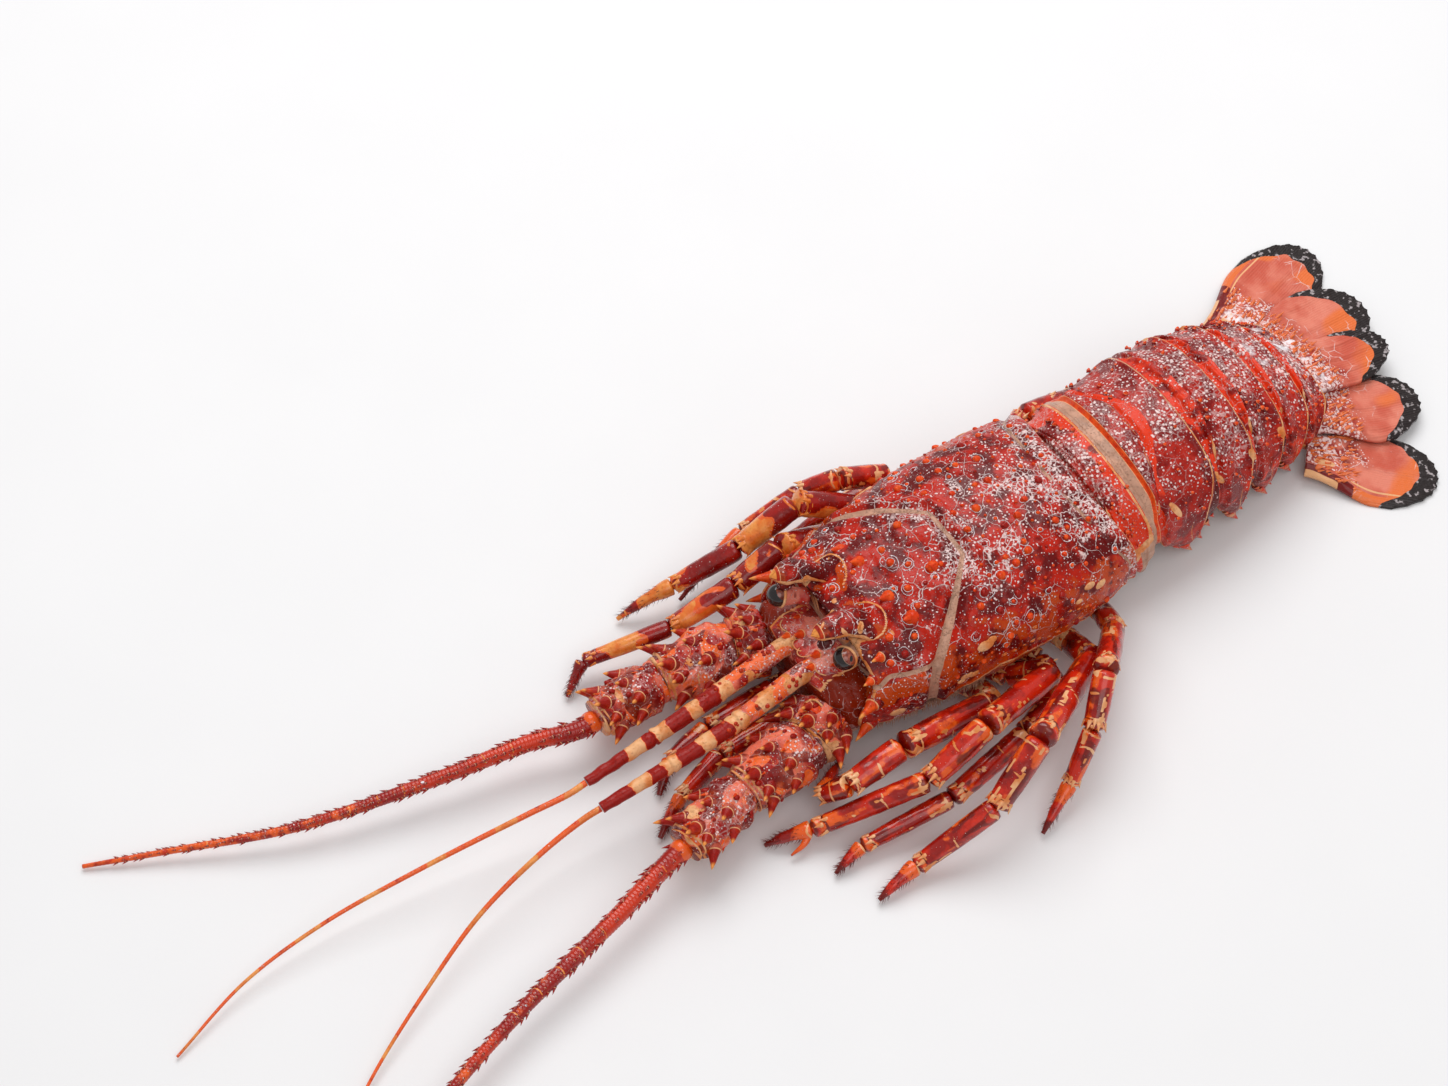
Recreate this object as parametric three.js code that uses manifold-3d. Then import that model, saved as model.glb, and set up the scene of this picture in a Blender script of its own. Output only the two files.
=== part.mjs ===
// A life-size still model of a cooked spiny lobster lying on its belly.
// Millimetres, +Z up, head towards -Y, tail towards +Y, the animal's left towards +X.
// The origin is the middle of the flat underside of the sternum, on the floor.
import * as THREE from "three";
import { mergeVertices } from "three/addons/utils/BufferGeometryUtils.js";
import Module from "manifold-3d";

const wasm = await Module();
wasm.setup();

// Driving dimensions, in millimetres. GAP is the clearance between neighbouring pieces.
const GAP = 0.35;

const CARAPACE = {
  // y, half width, crest height, lower edge height, from the brow to the rear margin
  stations: [
    [-54, 27, 36, 11],
    [-45, 30.5, 41, 11.5],
    [-34, 33.5, 45.5, 12.5],
    [-16, 36, 49.5, 13.5],
    [2, 37.5, 52, 14],
    [22, 37.5, 52.5, 15],
    [38, 36.5, 51, 17.5],
    [52, 34, 47.5, 21],
  ],
  middleX: -1,
  squareness: 2.4,
  waist: 0.3,
  tuck: 4.5,
  browY: -45,
  cheekY: -52,
  rearY: 52,
  rearHollow: 5,
  keelHalfWidth: 17,
  keelZ: 12.8,
  grooveY: -1,
  grooveSweep: 26.7,
  grooveHalf: 1.8,
  grooveDepth: 1.9,
  collarBack: 9,
  collarDepth: 1.1,
  columns: 30,
};

const STERNUM = { frontY: -38, rearY: 42, frontHalf: 11, rearHalf: 16, top: 12.4, bevel: 2.5 };

const SNOUT = { rearY: -44, frontY: -58, halfWidth: 26, middleZ: 18, halfHeight: 13 };

const ABDOMEN = {
  // Each row is a joint: crest y, lower y, half width, crest height, belly height, middle x
  joints: [
    [47.8, 58, 29.5, 44.5, 12, -3.5],
    [63, 70, 32, 46, 9, -5.5],
    [92, 94, 33, 46.5, 8, -7.5],
    [110, 110, 32, 44.5, 7, -8.5],
    [126, 124, 29.5, 40, 6, -9],
    [139.5, 135.5, 26.5, 34, 6, -9],
    [151, 145.5, 22.5, 25.5, 6, -9],
  ],
  squareness: 2.1,
  stepDepth: 1.5,
  furrow: 0.8,
  pleuronTop: 17,
  pleuronTip: 4.5,
  pleuronThick: 3,
  bellyHalf: 18,
  columns: 18,
};

// Tail lobes: root x, y, width and height; tip x, y and width; the level of the blade at its tip
const TAIL = {
  telson: { root: [-9, 151, 24, 14.6], tip: [-5, 192, 22, 7.2], rays: 4 },
  endopod_right: { root: [-24, 150, 16, 9], tip: [-24, 198, 33, 3.6], rays: 3 },
  endopod_left: { root: [6, 148, 16, 9], tip: [18, 188, 28, 3.6], rays: 3 },
  exopod_right: { root: [-38, 147, 18, 4], tip: [-55, 200, 32, 0], rays: 3 },
  exopod_left: { root: [16, 140, 18, 4], tip: [47, 173, 29, 0], rays: 3 },
};
const LOBE = { thick: 1.9, ray: 0.7, steps: 7, columns: 12, corner: 0.32 };

// Brow horns from root to tip, and the eye balls below them; the head is turned a little
const HORN = {
  left: [[11.5, -34, 37], [11.5, -44, 43.5], [7.5, -56.5, 48]],
  right: [[-13.5, -37, 36], [-16, -46, 42.5], [-18.2, -55.5, 47]],
  radii: [6.6, 5.6, 4.1, 2.2, 0.3],
};
const EYE = {
  left: [14.2, -49.4, 38.6],
  right: [-16.9, -53.3, 37.8],
  radius: 3.7,
  stalk: [3.6, -8.6, 3],
  stalkRadius: 3.2,
};

// Antenna peduncle joints, then the whip, as seen for each side
const ANTENNA = {
  left: {
    joints: [[16, -56, 15], [21, -68, 14.5], [25, -94, 14], [31, -119, 13.5]],
    whip: [[39.5, -150, 12], [49, -188, 10.4], [58, -216, 8.6], [75, -258, 5.2], [95, -300, 1.4]],
  },
  right: {
    joints: [[-16, -56, 15], [-20.5, -68, 14.5], [-23.5, -94, 14], [-22.4, -118, 13.5]],
    whip: [[-27, -139, 12.4], [-32.4, -169, 11], [-43.6, -215, 7.5], [-60, -252, 3.8], [-71, -276, 1.4]],
  },
  radii: [9.5, 10.8, 8.6, 7.4],
  whipRadii: [3.3, 0.7],
};

const ANTENNULE = {
  left: {
    stem: [[5.6, -57.5, 27], [8.6, -93, 24], [8.2, -135, 19]],
    whip: [[9.6, -158, 15], [15, -183, 10.2], [25.6, -208, 6], [38, -232, 3], [51, -252, 1.2]],
  },
  right: {
    stem: [[-5.6, -57.5, 27], [-3.2, -93, 24], [-2, -134, 19]],
    whip: [[-3.6, -155, 16.4], [-7.8, -191, 11.4], [-9.6, -224, 7.8], [-7, -253, 4.5], [2, -281, 1.2]],
  },
  radii: [3.2, 2.7, 1.7],
  whipRadii: [1.1, 0.45],
};

// Walking legs, from the hip on the sternum: hip, carapace edge, knee base, knee, wrist, ankle, claw tip
const LEGS = {
  leg_1_left: {
    size: 1,
    path: [
      [-18, 6.5], [32, -8, 7], [41, -11, 15], [42, -46, 21],
      [42.5, -66, 17], [37.5, -73, 10], [29, -60, 6],
    ],
  },
  leg_2_left: {
    size: 1,
    path: [
      [-9, 6.5], [33, 3, 8], [44, 11, 18], [53, -22, 28],
      [55, -45, 18], [44, -81, 6], [39, -95, 2],
    ],
  },
  leg_3_left: {
    size: 0.86,
    path: [
      [6, 6.5], [33, 15, 6.5], [47, 13, 8], [56, -8, 14],
      [61, -40, 11], [57, -71, 5], [59, -82, 1.6],
    ],
  },
  leg_4_left: {
    size: 1,
    path: [
      [21, 6.5], [34, 27, 8], [47, 24, 18], [68, -13, 32],
      [74, -33, 18], [72, -61, 5], [74, -76, 1.8],
    ],
  },
  leg_5_left: {
    size: 0.9,
    path: [
      [35, 6.5], [30, 42, 9], [41, 38, 16], [59, 19, 32],
      [70, 7, 22], [76, -5, 8], [83, -20, 1.8],
    ],
  },
  leg_1_right: {
    size: 1,
    path: [
      [-24, 6.5], [-31, -17, 7], [-39.5, -18, 15], [-38, -38, 26],
      [-37, -56, 20], [-38.5, -80, 13.5], [-46, -108.8, 8], [-41, -118, 1.4],
    ],
  },
  leg_2_right: {
    size: 1,
    path: [
      [-9, 6.5], [-33, -4, 8], [-41, -6, 20], [-47.5, -26, 30],
      [-48.5, -47, 20], [-53, -70, 11], [-57, -89, 2],
    ],
  },
  leg_3_right: {
    size: 0.9,
    path: [
      [6, 6.5], [-34, 11, 8], [-46, 10, 20], [-50, -7, 26],
      [-56, -18, 20], [-58, -40, 12], [-52, -68, 2],
    ],
  },
  leg_4_right: {
    size: 0.9,
    path: [
      [21, 6.5], [-34, 26, 7], [-44, 24, 8], [-50, 8, 9],
      [-51, -6, 8], [-50, -24, 5], [-49, -36, 1.8],
    ],
  },
  leg_5_right: {
    size: 0.85,
    path: [
      [35, 6.5], [-30, 42, 8], [-39, 48, 10], [-45, 66, 13],
      [-46, 80, 9], [-45, 96, 4.5], [-44, 106, 1.6],
    ],
  },
};
// Leg radii at the hip, carapace edge, knee base and knee, then at the knee, wrist, ankle and claw
// tip, or at one joint more where the claw is bent down
const LEG = {
  sides: 7,
  upperRadii: [4.2, 4, 4.2, 4.3],
  lowerRadii: [4.3, 3.7, 2.9, 0.7],
  bentRadii: [4.3, 4, 3.1, 2.3, 0.7],
  collar: 1.1,
  waist: 0.86,
  jointShare: 0.16,
};

const MAXILLIPED = {
  left: [[6.4, -42, 5.5], [5.4, -62, 5], [5.6, -90, 5], [11, -108, 4], [19, -121, 2]],
  right: [[-6.4, -42, 5.5], [-5.4, -62, 5], [-5, -88, 5], [-2, -104, 4], [6, -113, 2]],
  radii: [4.2, 3.9, 3.3, 2.4, 0.9],
};

// Spines: length, root radius; a root sinks below the surface by its own radius
const SPINES = {
  tubercle: [2.4, 1.7],
  row: [6.5, 2.4],
  cheek: [7, 2.3],
  pleuron: [4.2, 1.6],
  stem: [4.6, 1.7],
  knee: [3.6, 1.4],
  whip: [1.9, 0.9],
};
// Spines of a feeler stem: share of the joint's length, degrees round it, scale
const STEM_SPINES = [
  [0.8, 15, 1], [0.8, 65, 1.1], [0.8, 115, 1.1], [0.8, 165, 1],
  [0.42, 45, 0.85], [0.45, 130, 0.85],
];
// Spines behind the horns and at the cheeks: y, angle from the crest in radians, scale
const ROW_SPINES = [[-29, 0.17, 0.9], [-26.6, 0.46, 0.85], [-12.1, 0.16, 0.75], [-35, 0.52, 0.8]];
const CHEEK_SPINES = [[-47.5, 1.25, 1], [-48.5, 1.75, 0.85]];
// Teeth of a side lobe of the abdomen: share of the plate's length, height, scale
const LOBE_TEETH = [[0.52, 6.4, 1], [0.7, 8.5, 0.75], [0.84, 12, 0.6]];
// Tubercles of the back: rows along Y, their pitch, their angular pitch and their scatter
const TUBERCLES = { rows: 9, firstY: -34, pitchY: 9, pitchAngle: 0.44, scatterY: 3, scatterAngle: 0.1 };
const SEED = 20;

const COLOURS = {
  shell: 0xa82a18,
  front: 0xc0503a,
  leg: 0xb23418,
  whip: 0xb5381f,
  fan: 0xe06a48,
  eye: 0x1c1a1d,
  stalk: 0x8a4a3a,
  belly: 0xd9b49a,
};

const vec = (x, y, z) => new THREE.Vector3(x, y, z);
const mix = (a, b, t) => a + (b - a) * t;
const clamp01 = (t) => Math.min(1, Math.max(0, t));
const smooth = (a, b, t) => {
  const s = clamp01((t - a) / (b - a));
  return s * s * (3 - 2 * s);
};
const signedPower = (value, power) => Math.sign(value) * Math.abs(value) ** power;

// A smooth curve through stations [key, value...], read at a key
function stationValue(stations, key, column) {
  const last = stations.length - 1;
  if (key <= stations[0][0]) return stations[0][column];
  if (key >= stations[last][0]) return stations[last][column];
  let i = 0;
  while (stations[i + 1][0] < key) i += 1;
  const at = (k) => stations[Math.min(last, Math.max(0, k))];
  const slope = (k) => (at(k + 1)[column] - at(k - 1)[column]) / (at(k + 1)[0] - at(k - 1)[0]);
  const width = stations[i + 1][0] - stations[i][0];
  const t = (key - stations[i][0]) / width;
  return (
    stations[i][column] * (2 * t ** 3 - 3 * t ** 2 + 1) +
    slope(i) * width * (t ** 3 - 2 * t ** 2 + t) +
    stations[i + 1][column] * (3 * t ** 2 - 2 * t ** 3) +
    slope(i + 1) * width * (t ** 3 - t ** 2)
  );
}

function solidFrom(vertProperties, faces) {
  const build = (list) =>
    new wasm.Manifold(new wasm.Mesh({ numProp: 3, vertProperties, triVerts: new Uint32Array(list) }));
  const made = build(faces);
  if (made.volume() >= 0) return made;
  const turned = [];
  for (let i = 0; i < faces.length; i += 3) turned.push(faces[i], faces[i + 2], faces[i + 1]);
  return build(turned);
}

// A solid from rings of equally many points. Its ends are closed by a fan, by triangles cut from
// the outline seen along Y, or, for a flat blade, by a strip between its upper and lower row.
function loft(rings, capStyle = "fan") {
  const positions = rings.flat().flatMap((p) => [p.x, p.y, p.z]);
  const count = rings[0].length;
  const lastStart = (rings.length - 1) * count;
  const faces = [];
  for (let start = 0; start < lastStart; start += count)
    for (let k = 0; k < count; k += 1) {
      const [a, b] = [start + k, start + ((k + 1) % count)];
      faces.push(a, b, b + count, a, b + count, a + count);
    }
  const fanCap = (ring, start, flip) => {
    const centre = ring.reduce((sum, p) => sum.add(p), vec(0, 0, 0)).divideScalar(count);
    const tip = positions.push(centre.x, centre.y, centre.z) / 3 - 1;
    for (let k = 0; k < count; k += 1) {
      const [a, b] = [start + k, start + ((k + 1) % count)];
      faces.push(...(flip ? [b, a, tip] : [a, b, tip]));
    }
  };
  const outlineCap = (ring, start, flip) => {
    const outline = ring.map((p) => new THREE.Vector2(p.x, p.z));
    const sense = Math.sign(THREE.ShapeUtils.area(outline));
    for (const [a, b, c] of THREE.ShapeUtils.triangulateShape(outline, [])) {
      const turned = sense * THREE.ShapeUtils.area([outline[a], outline[b], outline[c]]) < 0;
      const [i, j, k] = turned === flip ? [a, b, c] : [a, c, b];
      faces.push(start + i, start + j, start + k);
    }
  };
  const stripCap = (ring, start, flip) => {
    for (let k = 0; k < count / 2 - 1; k += 1) {
      const [a, b, c, d] = [k, k + 1, count - 2 - k, count - 1 - k].map((corner) => start + corner);
      faces.push(...(flip ? [b, a, d, b, d, c] : [a, b, c, a, c, d]));
    }
  };
  const cap = { fan: fanCap, outline: outlineCap, strip: stripCap }[capStyle];
  cap(rings[0], 0, true);
  cap(rings[rings.length - 1], lastStart, false);
  return solidFrom(new Float32Array(positions), faces);
}

function solidOf(geometry) {
  const bare = geometry.clone();
  bare.deleteAttribute("normal");
  bare.deleteAttribute("uv");
  const merged = mergeVertices(bare, 1e-4);
  return solidFrom(merged.attributes.position.array, [...merged.index.array]);
}

function geometryOf(solid) {
  const mesh = solid.getMesh();
  const geometry = new THREE.BufferGeometry();
  geometry.setAttribute("position", new THREE.BufferAttribute(new Float32Array(mesh.vertProperties), 3));
  geometry.setIndex(new THREE.BufferAttribute(new Uint32Array(mesh.triVerts), 1));
  geometry.computeVertexNormals();
  return geometry;
}

function largestPiece(solid) {
  return solid.decompose().reduce((best, piece) => (piece.volume() > best.volume() ? piece : best));
}

const fuse = (solids) => solids.reduce((sum, solid) => sum.add(solid));
const carve = (solid, cutters) => cutters.reduce((rest, cutter) => rest.subtract(cutter), solid);

// Directions of a tube at each of its points, without twist, with the ends given or taken from
// the points
function tubeFrames(points, { startNormal, endNormal } = {}) {
  const last = points.length - 1;
  let across;
  return points.map((point, i) => {
    const into = point.clone().sub(points[Math.max(0, i - 1)]).normalize();
    const out = points[Math.min(last, i + 1)].clone().sub(point).normalize();
    let along = into.add(out);
    if (i === 0 && startNormal) along = startNormal.clone();
    if (i === last && endNormal) along = endNormal.clone();
    along.normalize();
    across = across ?? along.clone().cross(vec(0, 0, 1));
    across = across.clone().addScaledVector(along, -across.dot(along)).normalize();
    return { along, across, up: across.clone().cross(along).normalize() };
  });
}

// A tapered tube through points, each with a radius; flat is its height over its width
function tube(points, radii, sides, { startNormal, endNormal, flat = 1 } = {}) {
  const frames = tubeFrames(points, { startNormal, endNormal });
  const rings = points.map((point, i) =>
    Array.from({ length: sides }, (_, k) => {
      const angle = (2 * Math.PI * (k + 0.5)) / sides;
      return point
        .clone()
        .addScaledVector(frames[i].across, Math.cos(angle) * radii[i])
        .addScaledVector(frames[i].up, Math.sin(angle) * radii[i] * flat);
    }),
  );
  return loft(rings);
}

// A cone that leans along a direction, with its root sunk below the surface it grows from
function spine(kind, foot, outward, lean, scale = 1) {
  const [length, radius] = SPINES[kind].map((size) => size * scale);
  const along = outward.clone().normalize().add(lean).normalize();
  const cone = new THREE.ConeGeometry(radius * 1.25, length + radius, 5);
  cone.translate(0, (length - radius) / 2, 0);
  cone.applyQuaternion(new THREE.Quaternion().setFromUnitVectors(vec(0, 1, 0), along));
  cone.translate(foot.x, foot.y, foot.z);
  return solidOf(cone);
}

function makeRandom(seed) {
  let state = seed;
  return () => {
    state = (state * 1664525 + 1013904223) % 4294967296;
    return state / 4294967296;
  };
}
const random = makeRandom(SEED);
const vary = (amount) => 1 + amount * (2 * random() - 1);

const smoothLine = (points, steps) =>
  new THREE.CatmullRomCurve3(points.map((p) => vec(...p)), false, "centripetal").getSpacedPoints(steps);

const floorBlock = solidOf(new THREE.BoxGeometry(1200, 1200, 100).translate(0, 0, -50));

const part = new THREE.Group();
function addNode(name, solid, color, roughness = 0.45) {
  const material = new THREE.MeshStandardMaterial({ color, roughness, metalness: 0 });
  const mesh = new THREE.Mesh(geometryOf(largestPiece(solid.subtract(floorBlock))), material);
  mesh.name = name;
  part.add(mesh);
}

// Carapace: an arched shell whose section is a squared ellipse tucked in below its waist
function archPoint(half, crest, low, waist, tuck, squareness, angle, columnSpan) {
  const quarter = Math.PI / 2;
  const middle = mix(low, crest, waist);
  if (Math.abs(angle) <= quarter) {
    const x = half * signedPower(Math.sin(angle), 2 / squareness);
    return [x, middle + (crest - middle) * Math.abs(Math.cos(angle)) ** (2 / squareness)];
  }
  const t = (Math.abs(angle) - quarter) / columnSpan;
  return [Math.sign(angle) * (half - tuck * t * t), mix(middle, low, t)];
}

const TUCK_SPAN = 0.5;
const archAngles = (columns) =>
  Array.from({ length: columns + 1 }, (_, k) => (Math.PI / 2 + TUCK_SPAN) * ((2 * k) / columns - 1));

function carapacePoint(y, angle, sunk) {
  const { stations, waist, tuck, squareness } = CARAPACE;
  const half = stationValue(stations, y, 1) - sunk;
  const crest = stationValue(stations, y, 2) - sunk;
  const low = stationValue(stations, y, 3) + Math.min(0, sunk);
  const [x, z] = archPoint(half, crest, low, waist, tuck, squareness, angle, TUCK_SPAN);
  return vec(x + CARAPACE.middleX, y, z);
}

function carapaceRows(angle, grow) {
  const side = Math.min(1, Math.abs(angle) / (Math.PI / 2));
  const front = mix(CARAPACE.browY, CARAPACE.cheekY, smooth(0.55, 1, side)) - grow;
  const rear = CARAPACE.rearY - CARAPACE.rearHollow * (1 - smooth(0, 0.9, side)) + grow;
  const groove = grooveAt(angle);
  const before = groove - CARAPACE.grooveHalf;
  const after = groove + CARAPACE.grooveHalf;
  const collar = rear - CARAPACE.collarBack;
  const rows = [0, 0.3, 0.65].map((t) => [mix(front, before, t), 0]);
  rows.push([before, 0], [groove, CARAPACE.grooveDepth], [after, 0]);
  rows.push([mix(after, collar - 2, 0.33), 0], [mix(after, collar - 2, 0.67), 0]);
  rows.push([collar - 2, 0], [collar, CARAPACE.collarDepth], [collar + 2, 0], [rear, 0.6]);
  return rows;
}

function carapaceBody(grow = 0) {
  const angles = archAngles(CARAPACE.columns);
  const columns = angles.map((angle) => carapaceRows(angle, grow));
  const keelZ = CARAPACE.keelZ - grow;
  const rings = columns[0].map((_, r) => {
    const ring = angles.map((angle, k) => carapacePoint(columns[k][r][0], angle, columns[k][r][1] - grow));
    const [right, left] = [ring[0], ring[ring.length - 1]];
    const inner = left.x - 3;
    ring.push(vec(inner, left.y, left.z + 0.4), vec(CARAPACE.keelHalfWidth, left.y, keelZ));
    ring.push(vec(-CARAPACE.keelHalfWidth, right.y, keelZ), vec(right.x + 3, right.y, right.z + 0.4));
    return ring;
  });
  return loft(rings, "outline");
}

function horn(side, grow = 0) {
  const line = smoothLine(HORN[side], HORN.radii.length - 1);
  return tube(line, HORN.radii.map((r) => r + grow), 8, { flat: 0.8 });
}

// The point and the outward direction on the carapace at a height y along it and an angle round it
function onCarapace(y, angle) {
  const point = carapacePoint(y, angle, 0);
  const along = carapacePoint(y + 1, angle, 0).sub(carapacePoint(y - 1, angle, 0));
  const round = carapacePoint(y, angle + 0.02, 0).sub(carapacePoint(y, angle - 0.02, 0));
  return { point, outward: round.cross(along).normalize() };
}

// The y of the groove across the back, which sweeps forward down the sides
function grooveAt(angle) {
  const side = Math.min(1, Math.abs(angle) / (Math.PI / 2));
  return CARAPACE.grooveY - CARAPACE.grooveSweep * Math.sqrt(smooth(0.12, 0.95, side));
}

// Tubercles in staggered rows over the back, missing the groove and the rear collar, with two rows
// of larger spines behind the horns and a few at the cheeks, all leaning towards the head
function carapaceSpines() {
  const spines = [];
  const grow = (kind, y, angle, lean, scale) => {
    const { point, outward } = onCarapace(y, angle);
    spines.push(spine(kind, point, outward, vec(0, -lean, 0.1), scale));
  };
  const { rows, firstY, pitchY, pitchAngle, scatterY, scatterAngle } = TUBERCLES;
  for (let row = 0; row < rows; row += 1)
    for (let k = -3; k <= 3; k += 1) {
      const angle = (k + (row % 2 ? 0.5 : 0)) * pitchAngle + scatterAngle * (random() - 0.5);
      const y = firstY + row * pitchY + scatterY * (random() - 0.5);
      const isFree = Math.abs(y - grooveAt(angle)) > 4 && Math.abs(angle) < 1.65;
      if (isFree) grow("tubercle", y, angle, 0.5, vary(0.2));
    }
  for (const side of [1, -1]) {
    for (const [y, angle, scale] of ROW_SPINES) grow("row", y, side * angle, 0.9, scale);
    for (const [y, angle, scale] of CHEEK_SPINES) grow("cheek", y, side * angle, 1.6, scale);
  }
  return spines;
}

const carapaceGrown = carapaceBody(GAP);
addNode("carapace", fuse([carapaceBody(), horn("left"), horn("right"), ...carapaceSpines()]), COLOURS.shell);

// Sternum: the flat plate of the belly between the legs, which carries the weight
function sternumBody(grow = 0) {
  const { frontY, rearY, frontHalf, rearHalf, top, bevel } = STERNUM;
  const ring = (z, inset) => {
    const [front, rear] = [frontHalf + grow - inset, rearHalf + grow - inset];
    const [y0, y1] = [frontY - grow + inset, rearY + grow - inset];
    return [vec(-front, y0, z), vec(front, y0, z), vec(rear, y1, z), vec(-rear, y1, z)];
  };
  return loft([ring(-grow, 1), ring(1, 0), ring(top - bevel, 0), ring(top + grow, 0.5)]);
}
const sternumGrown = sternumBody(GAP);
addNode("sternum", sternumBody(), COLOURS.belly);

// Snout: the block below the brow that carries the eyes and both pairs of feelers
function snoutBody(grow = 0) {
  const rings = [
    [SNOUT.rearY + grow, 1],
    [SNOUT.frontY + 4, 1],
    [SNOUT.frontY + 1, 0.94],
    [SNOUT.frontY - grow, 0.82],
  ].map(([y, scale]) =>
    Array.from({ length: 16 }, (_, k) => {
      const angle = (2 * Math.PI * (k + 0.5)) / 16;
      const x = (SNOUT.halfWidth * scale + grow) * signedPower(Math.cos(angle), 0.75);
      const z = SNOUT.middleZ + (SNOUT.halfHeight * scale + grow) * signedPower(Math.sin(angle), 0.75);
      return vec(x, y, z);
    }),
  );
  return loft(rings);
}
const snoutGrown = snoutBody(GAP * 1.5);
addNode("snout", carve(snoutBody(), [carapaceGrown, sternumGrown]), COLOURS.front);

// Eyes: a glossy ball at the end of a short stalk that comes from below each horn
for (const [name, side] of Object.entries({ left: 1, right: -1 })) {
  const ball = vec(...EYE[name]);
  const along = vec(side * EYE.stalk[0], EYE.stalk[1], EYE.stalk[2]);
  const foot = ball.clone().sub(along);
  const neck = ball.clone().addScaledVector(along.normalize(), -EYE.radius * 0.3);
  const stalk = tube([foot, neck], [EYE.stalkRadius * 0.9, EYE.stalkRadius], 10);
  const sphere = (radius) =>
    solidOf(new THREE.SphereGeometry(radius, 12, 8).translate(ball.x, ball.y, ball.z));
  const brow = [carapaceGrown, horn(name, GAP * 1.2)];
  const stalkCuts = [...brow, snoutGrown, sphere(EYE.radius + GAP)];
  addNode(`eyestalk_${name}`, carve(stalk, stalkCuts), COLOURS.stalk);
  addNode(`eye_${name}`, carve(sphere(EYE.radius), brow), COLOURS.eye, 0.15);
}

// Feelers: three thick peduncle joints and a long whip on each side, and the thin inner pair
function segment(points, i, startRadius, endRadius, sides, flat) {
  const facing = (k) => {
    const into = points[k].clone().sub(points[Math.max(0, k - 1)]).normalize();
    const out = points[Math.min(points.length - 1, k + 1)].clone().sub(points[k]).normalize();
    return into.add(out).normalize();
  };
  const [startNormal, endNormal] = [facing(i), facing(i + 1)];
  const a = points[i].clone().addScaledVector(startNormal, GAP / 2);
  const b = points[i + 1].clone().addScaledVector(endNormal, -GAP / 2);
  const bulge = Math.max(startRadius, endRadius) * 1.04;
  const radii = [startRadius * 0.86, bulge, endRadius * 1.06, endRadius * 0.9];
  const line = [a, a.clone().lerp(b, 0.18), a.clone().lerp(b, 0.8), b];
  return tube(line, radii, sides, { startNormal, endNormal, flat });
}

// A ring of spines near the far end of a stem joint and two further back on its upper side
function stemSpines(start, end, radius) {
  const along = end.clone().sub(start).normalize();
  const across = along.clone().cross(vec(0, 0, 1)).normalize();
  const up = across.clone().cross(along).normalize();
  return STEM_SPINES.map(([t, degrees, scale]) => {
    const angle = (degrees * Math.PI) / 180;
    const outward = across.clone().multiplyScalar(Math.cos(angle));
    outward.addScaledVector(up, Math.sin(angle) * 0.92);
    const foot = start.clone().lerp(end, t).addScaledVector(outward, radius);
    return spine("stem", foot, outward, along.clone().multiplyScalar(0.9), scale * vary(0.1));
  });
}

// A whip starts face to face with the last joint of its stem and is parted into lengths
function addWhip(name, stem, whip, [rootRadius, tipRadius], { steps, sides, lengths = 1, isBarbed = false }) {
  const [before, end] = stem.slice(-2).map((p) => vec(...p));
  const along = end.clone().sub(before).normalize();
  const root = end.clone().addScaledVector(along, GAP);
  const lead = root.clone().addScaledVector(along, 6);
  const line = smoothLine([root.toArray(), lead.toArray(), ...whip], steps);
  const radii = line.map((_, i) => mix(rootRadius, tipRadius, (i / steps) ** 0.85));
  const cuts = Array.from({ length: lengths + 1 }, (_, k) => Math.round((k * steps) / lengths));
  const facing = (k) => (k === 0 ? along : line[Math.min(steps, k + 1)].clone().sub(line[k - 1]).normalize());
  for (let piece = 0; piece < lengths; piece += 1) {
    const [first, last] = [cuts[piece], cuts[piece + 1]];
    const points = line.slice(first, last + 1).map((p) => p.clone());
    if (first > 0) points[0].addScaledVector(facing(first), GAP);
    const normals = { startNormal: facing(first), endNormal: facing(last) };
    const solids = [tube(points, radii.slice(first, last + 1), sides, normals)];
    for (let k = first + 1; isBarbed && k < last - 1 && k < steps * 0.8; k += 1) {
      const towards = facing(k);
      const across = towards.clone().cross(vec(0, 0, 1)).normalize().multiplyScalar(k % 2 ? 1 : -1);
      const outward = across.add(vec(0, 0, 0.7)).normalize();
      const foot = line[k].clone().lerp(line[k + 1], 0.5).addScaledVector(outward, radii[k] * 0.75);
      solids.push(spine("whip", foot, outward, towards, Math.max(0.6, radii[k] / rootRadius)));
    }
    addNode(lengths > 1 ? `${name}_${piece + 1}` : name, fuse(solids), COLOURS.whip);
  }
}

for (const side of ["left", "right"]) {
  const { joints, whip } = ANTENNA[side];
  const chain = joints.map((p) => vec(...p));
  for (let i = 0; i < 3; i += 1) {
    const bare = segment(chain, i, ANTENNA.radii[i], ANTENNA.radii[i + 1], 10, 0.92);
    const solid = fuse([bare, ...stemSpines(chain[i], chain[i + 1], ANTENNA.radii[i + 1])]);
    addNode(`antenna_base_${i + 1}_${side}`, carve(solid, [carapaceGrown, snoutGrown]), COLOURS.front);
  }
  const form = { steps: 24, sides: 6, lengths: 3, isBarbed: true };
  addWhip(`antenna_whip_${side}`, joints, whip, ANTENNA.whipRadii, form);

  const { stem, whip: thin } = ANTENNULE[side];
  const stemLine = stem.map((p) => vec(...p));
  stemLine.unshift(stemLine[0].clone().add(vec(0, 5, 0)));
  const stemRadii = [ANTENNULE.radii[0], ...ANTENNULE.radii];
  const stemTube = tube(stemLine, stemRadii, 8);
  addNode(`antennule_${side}`, carve(stemTube, [carapaceGrown, snoutGrown]), COLOURS.front);
  addWhip(`antennule_whip_${side}`, stem, thin, ANTENNULE.whipRadii, { steps: 16, sides: 5 });
}

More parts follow.
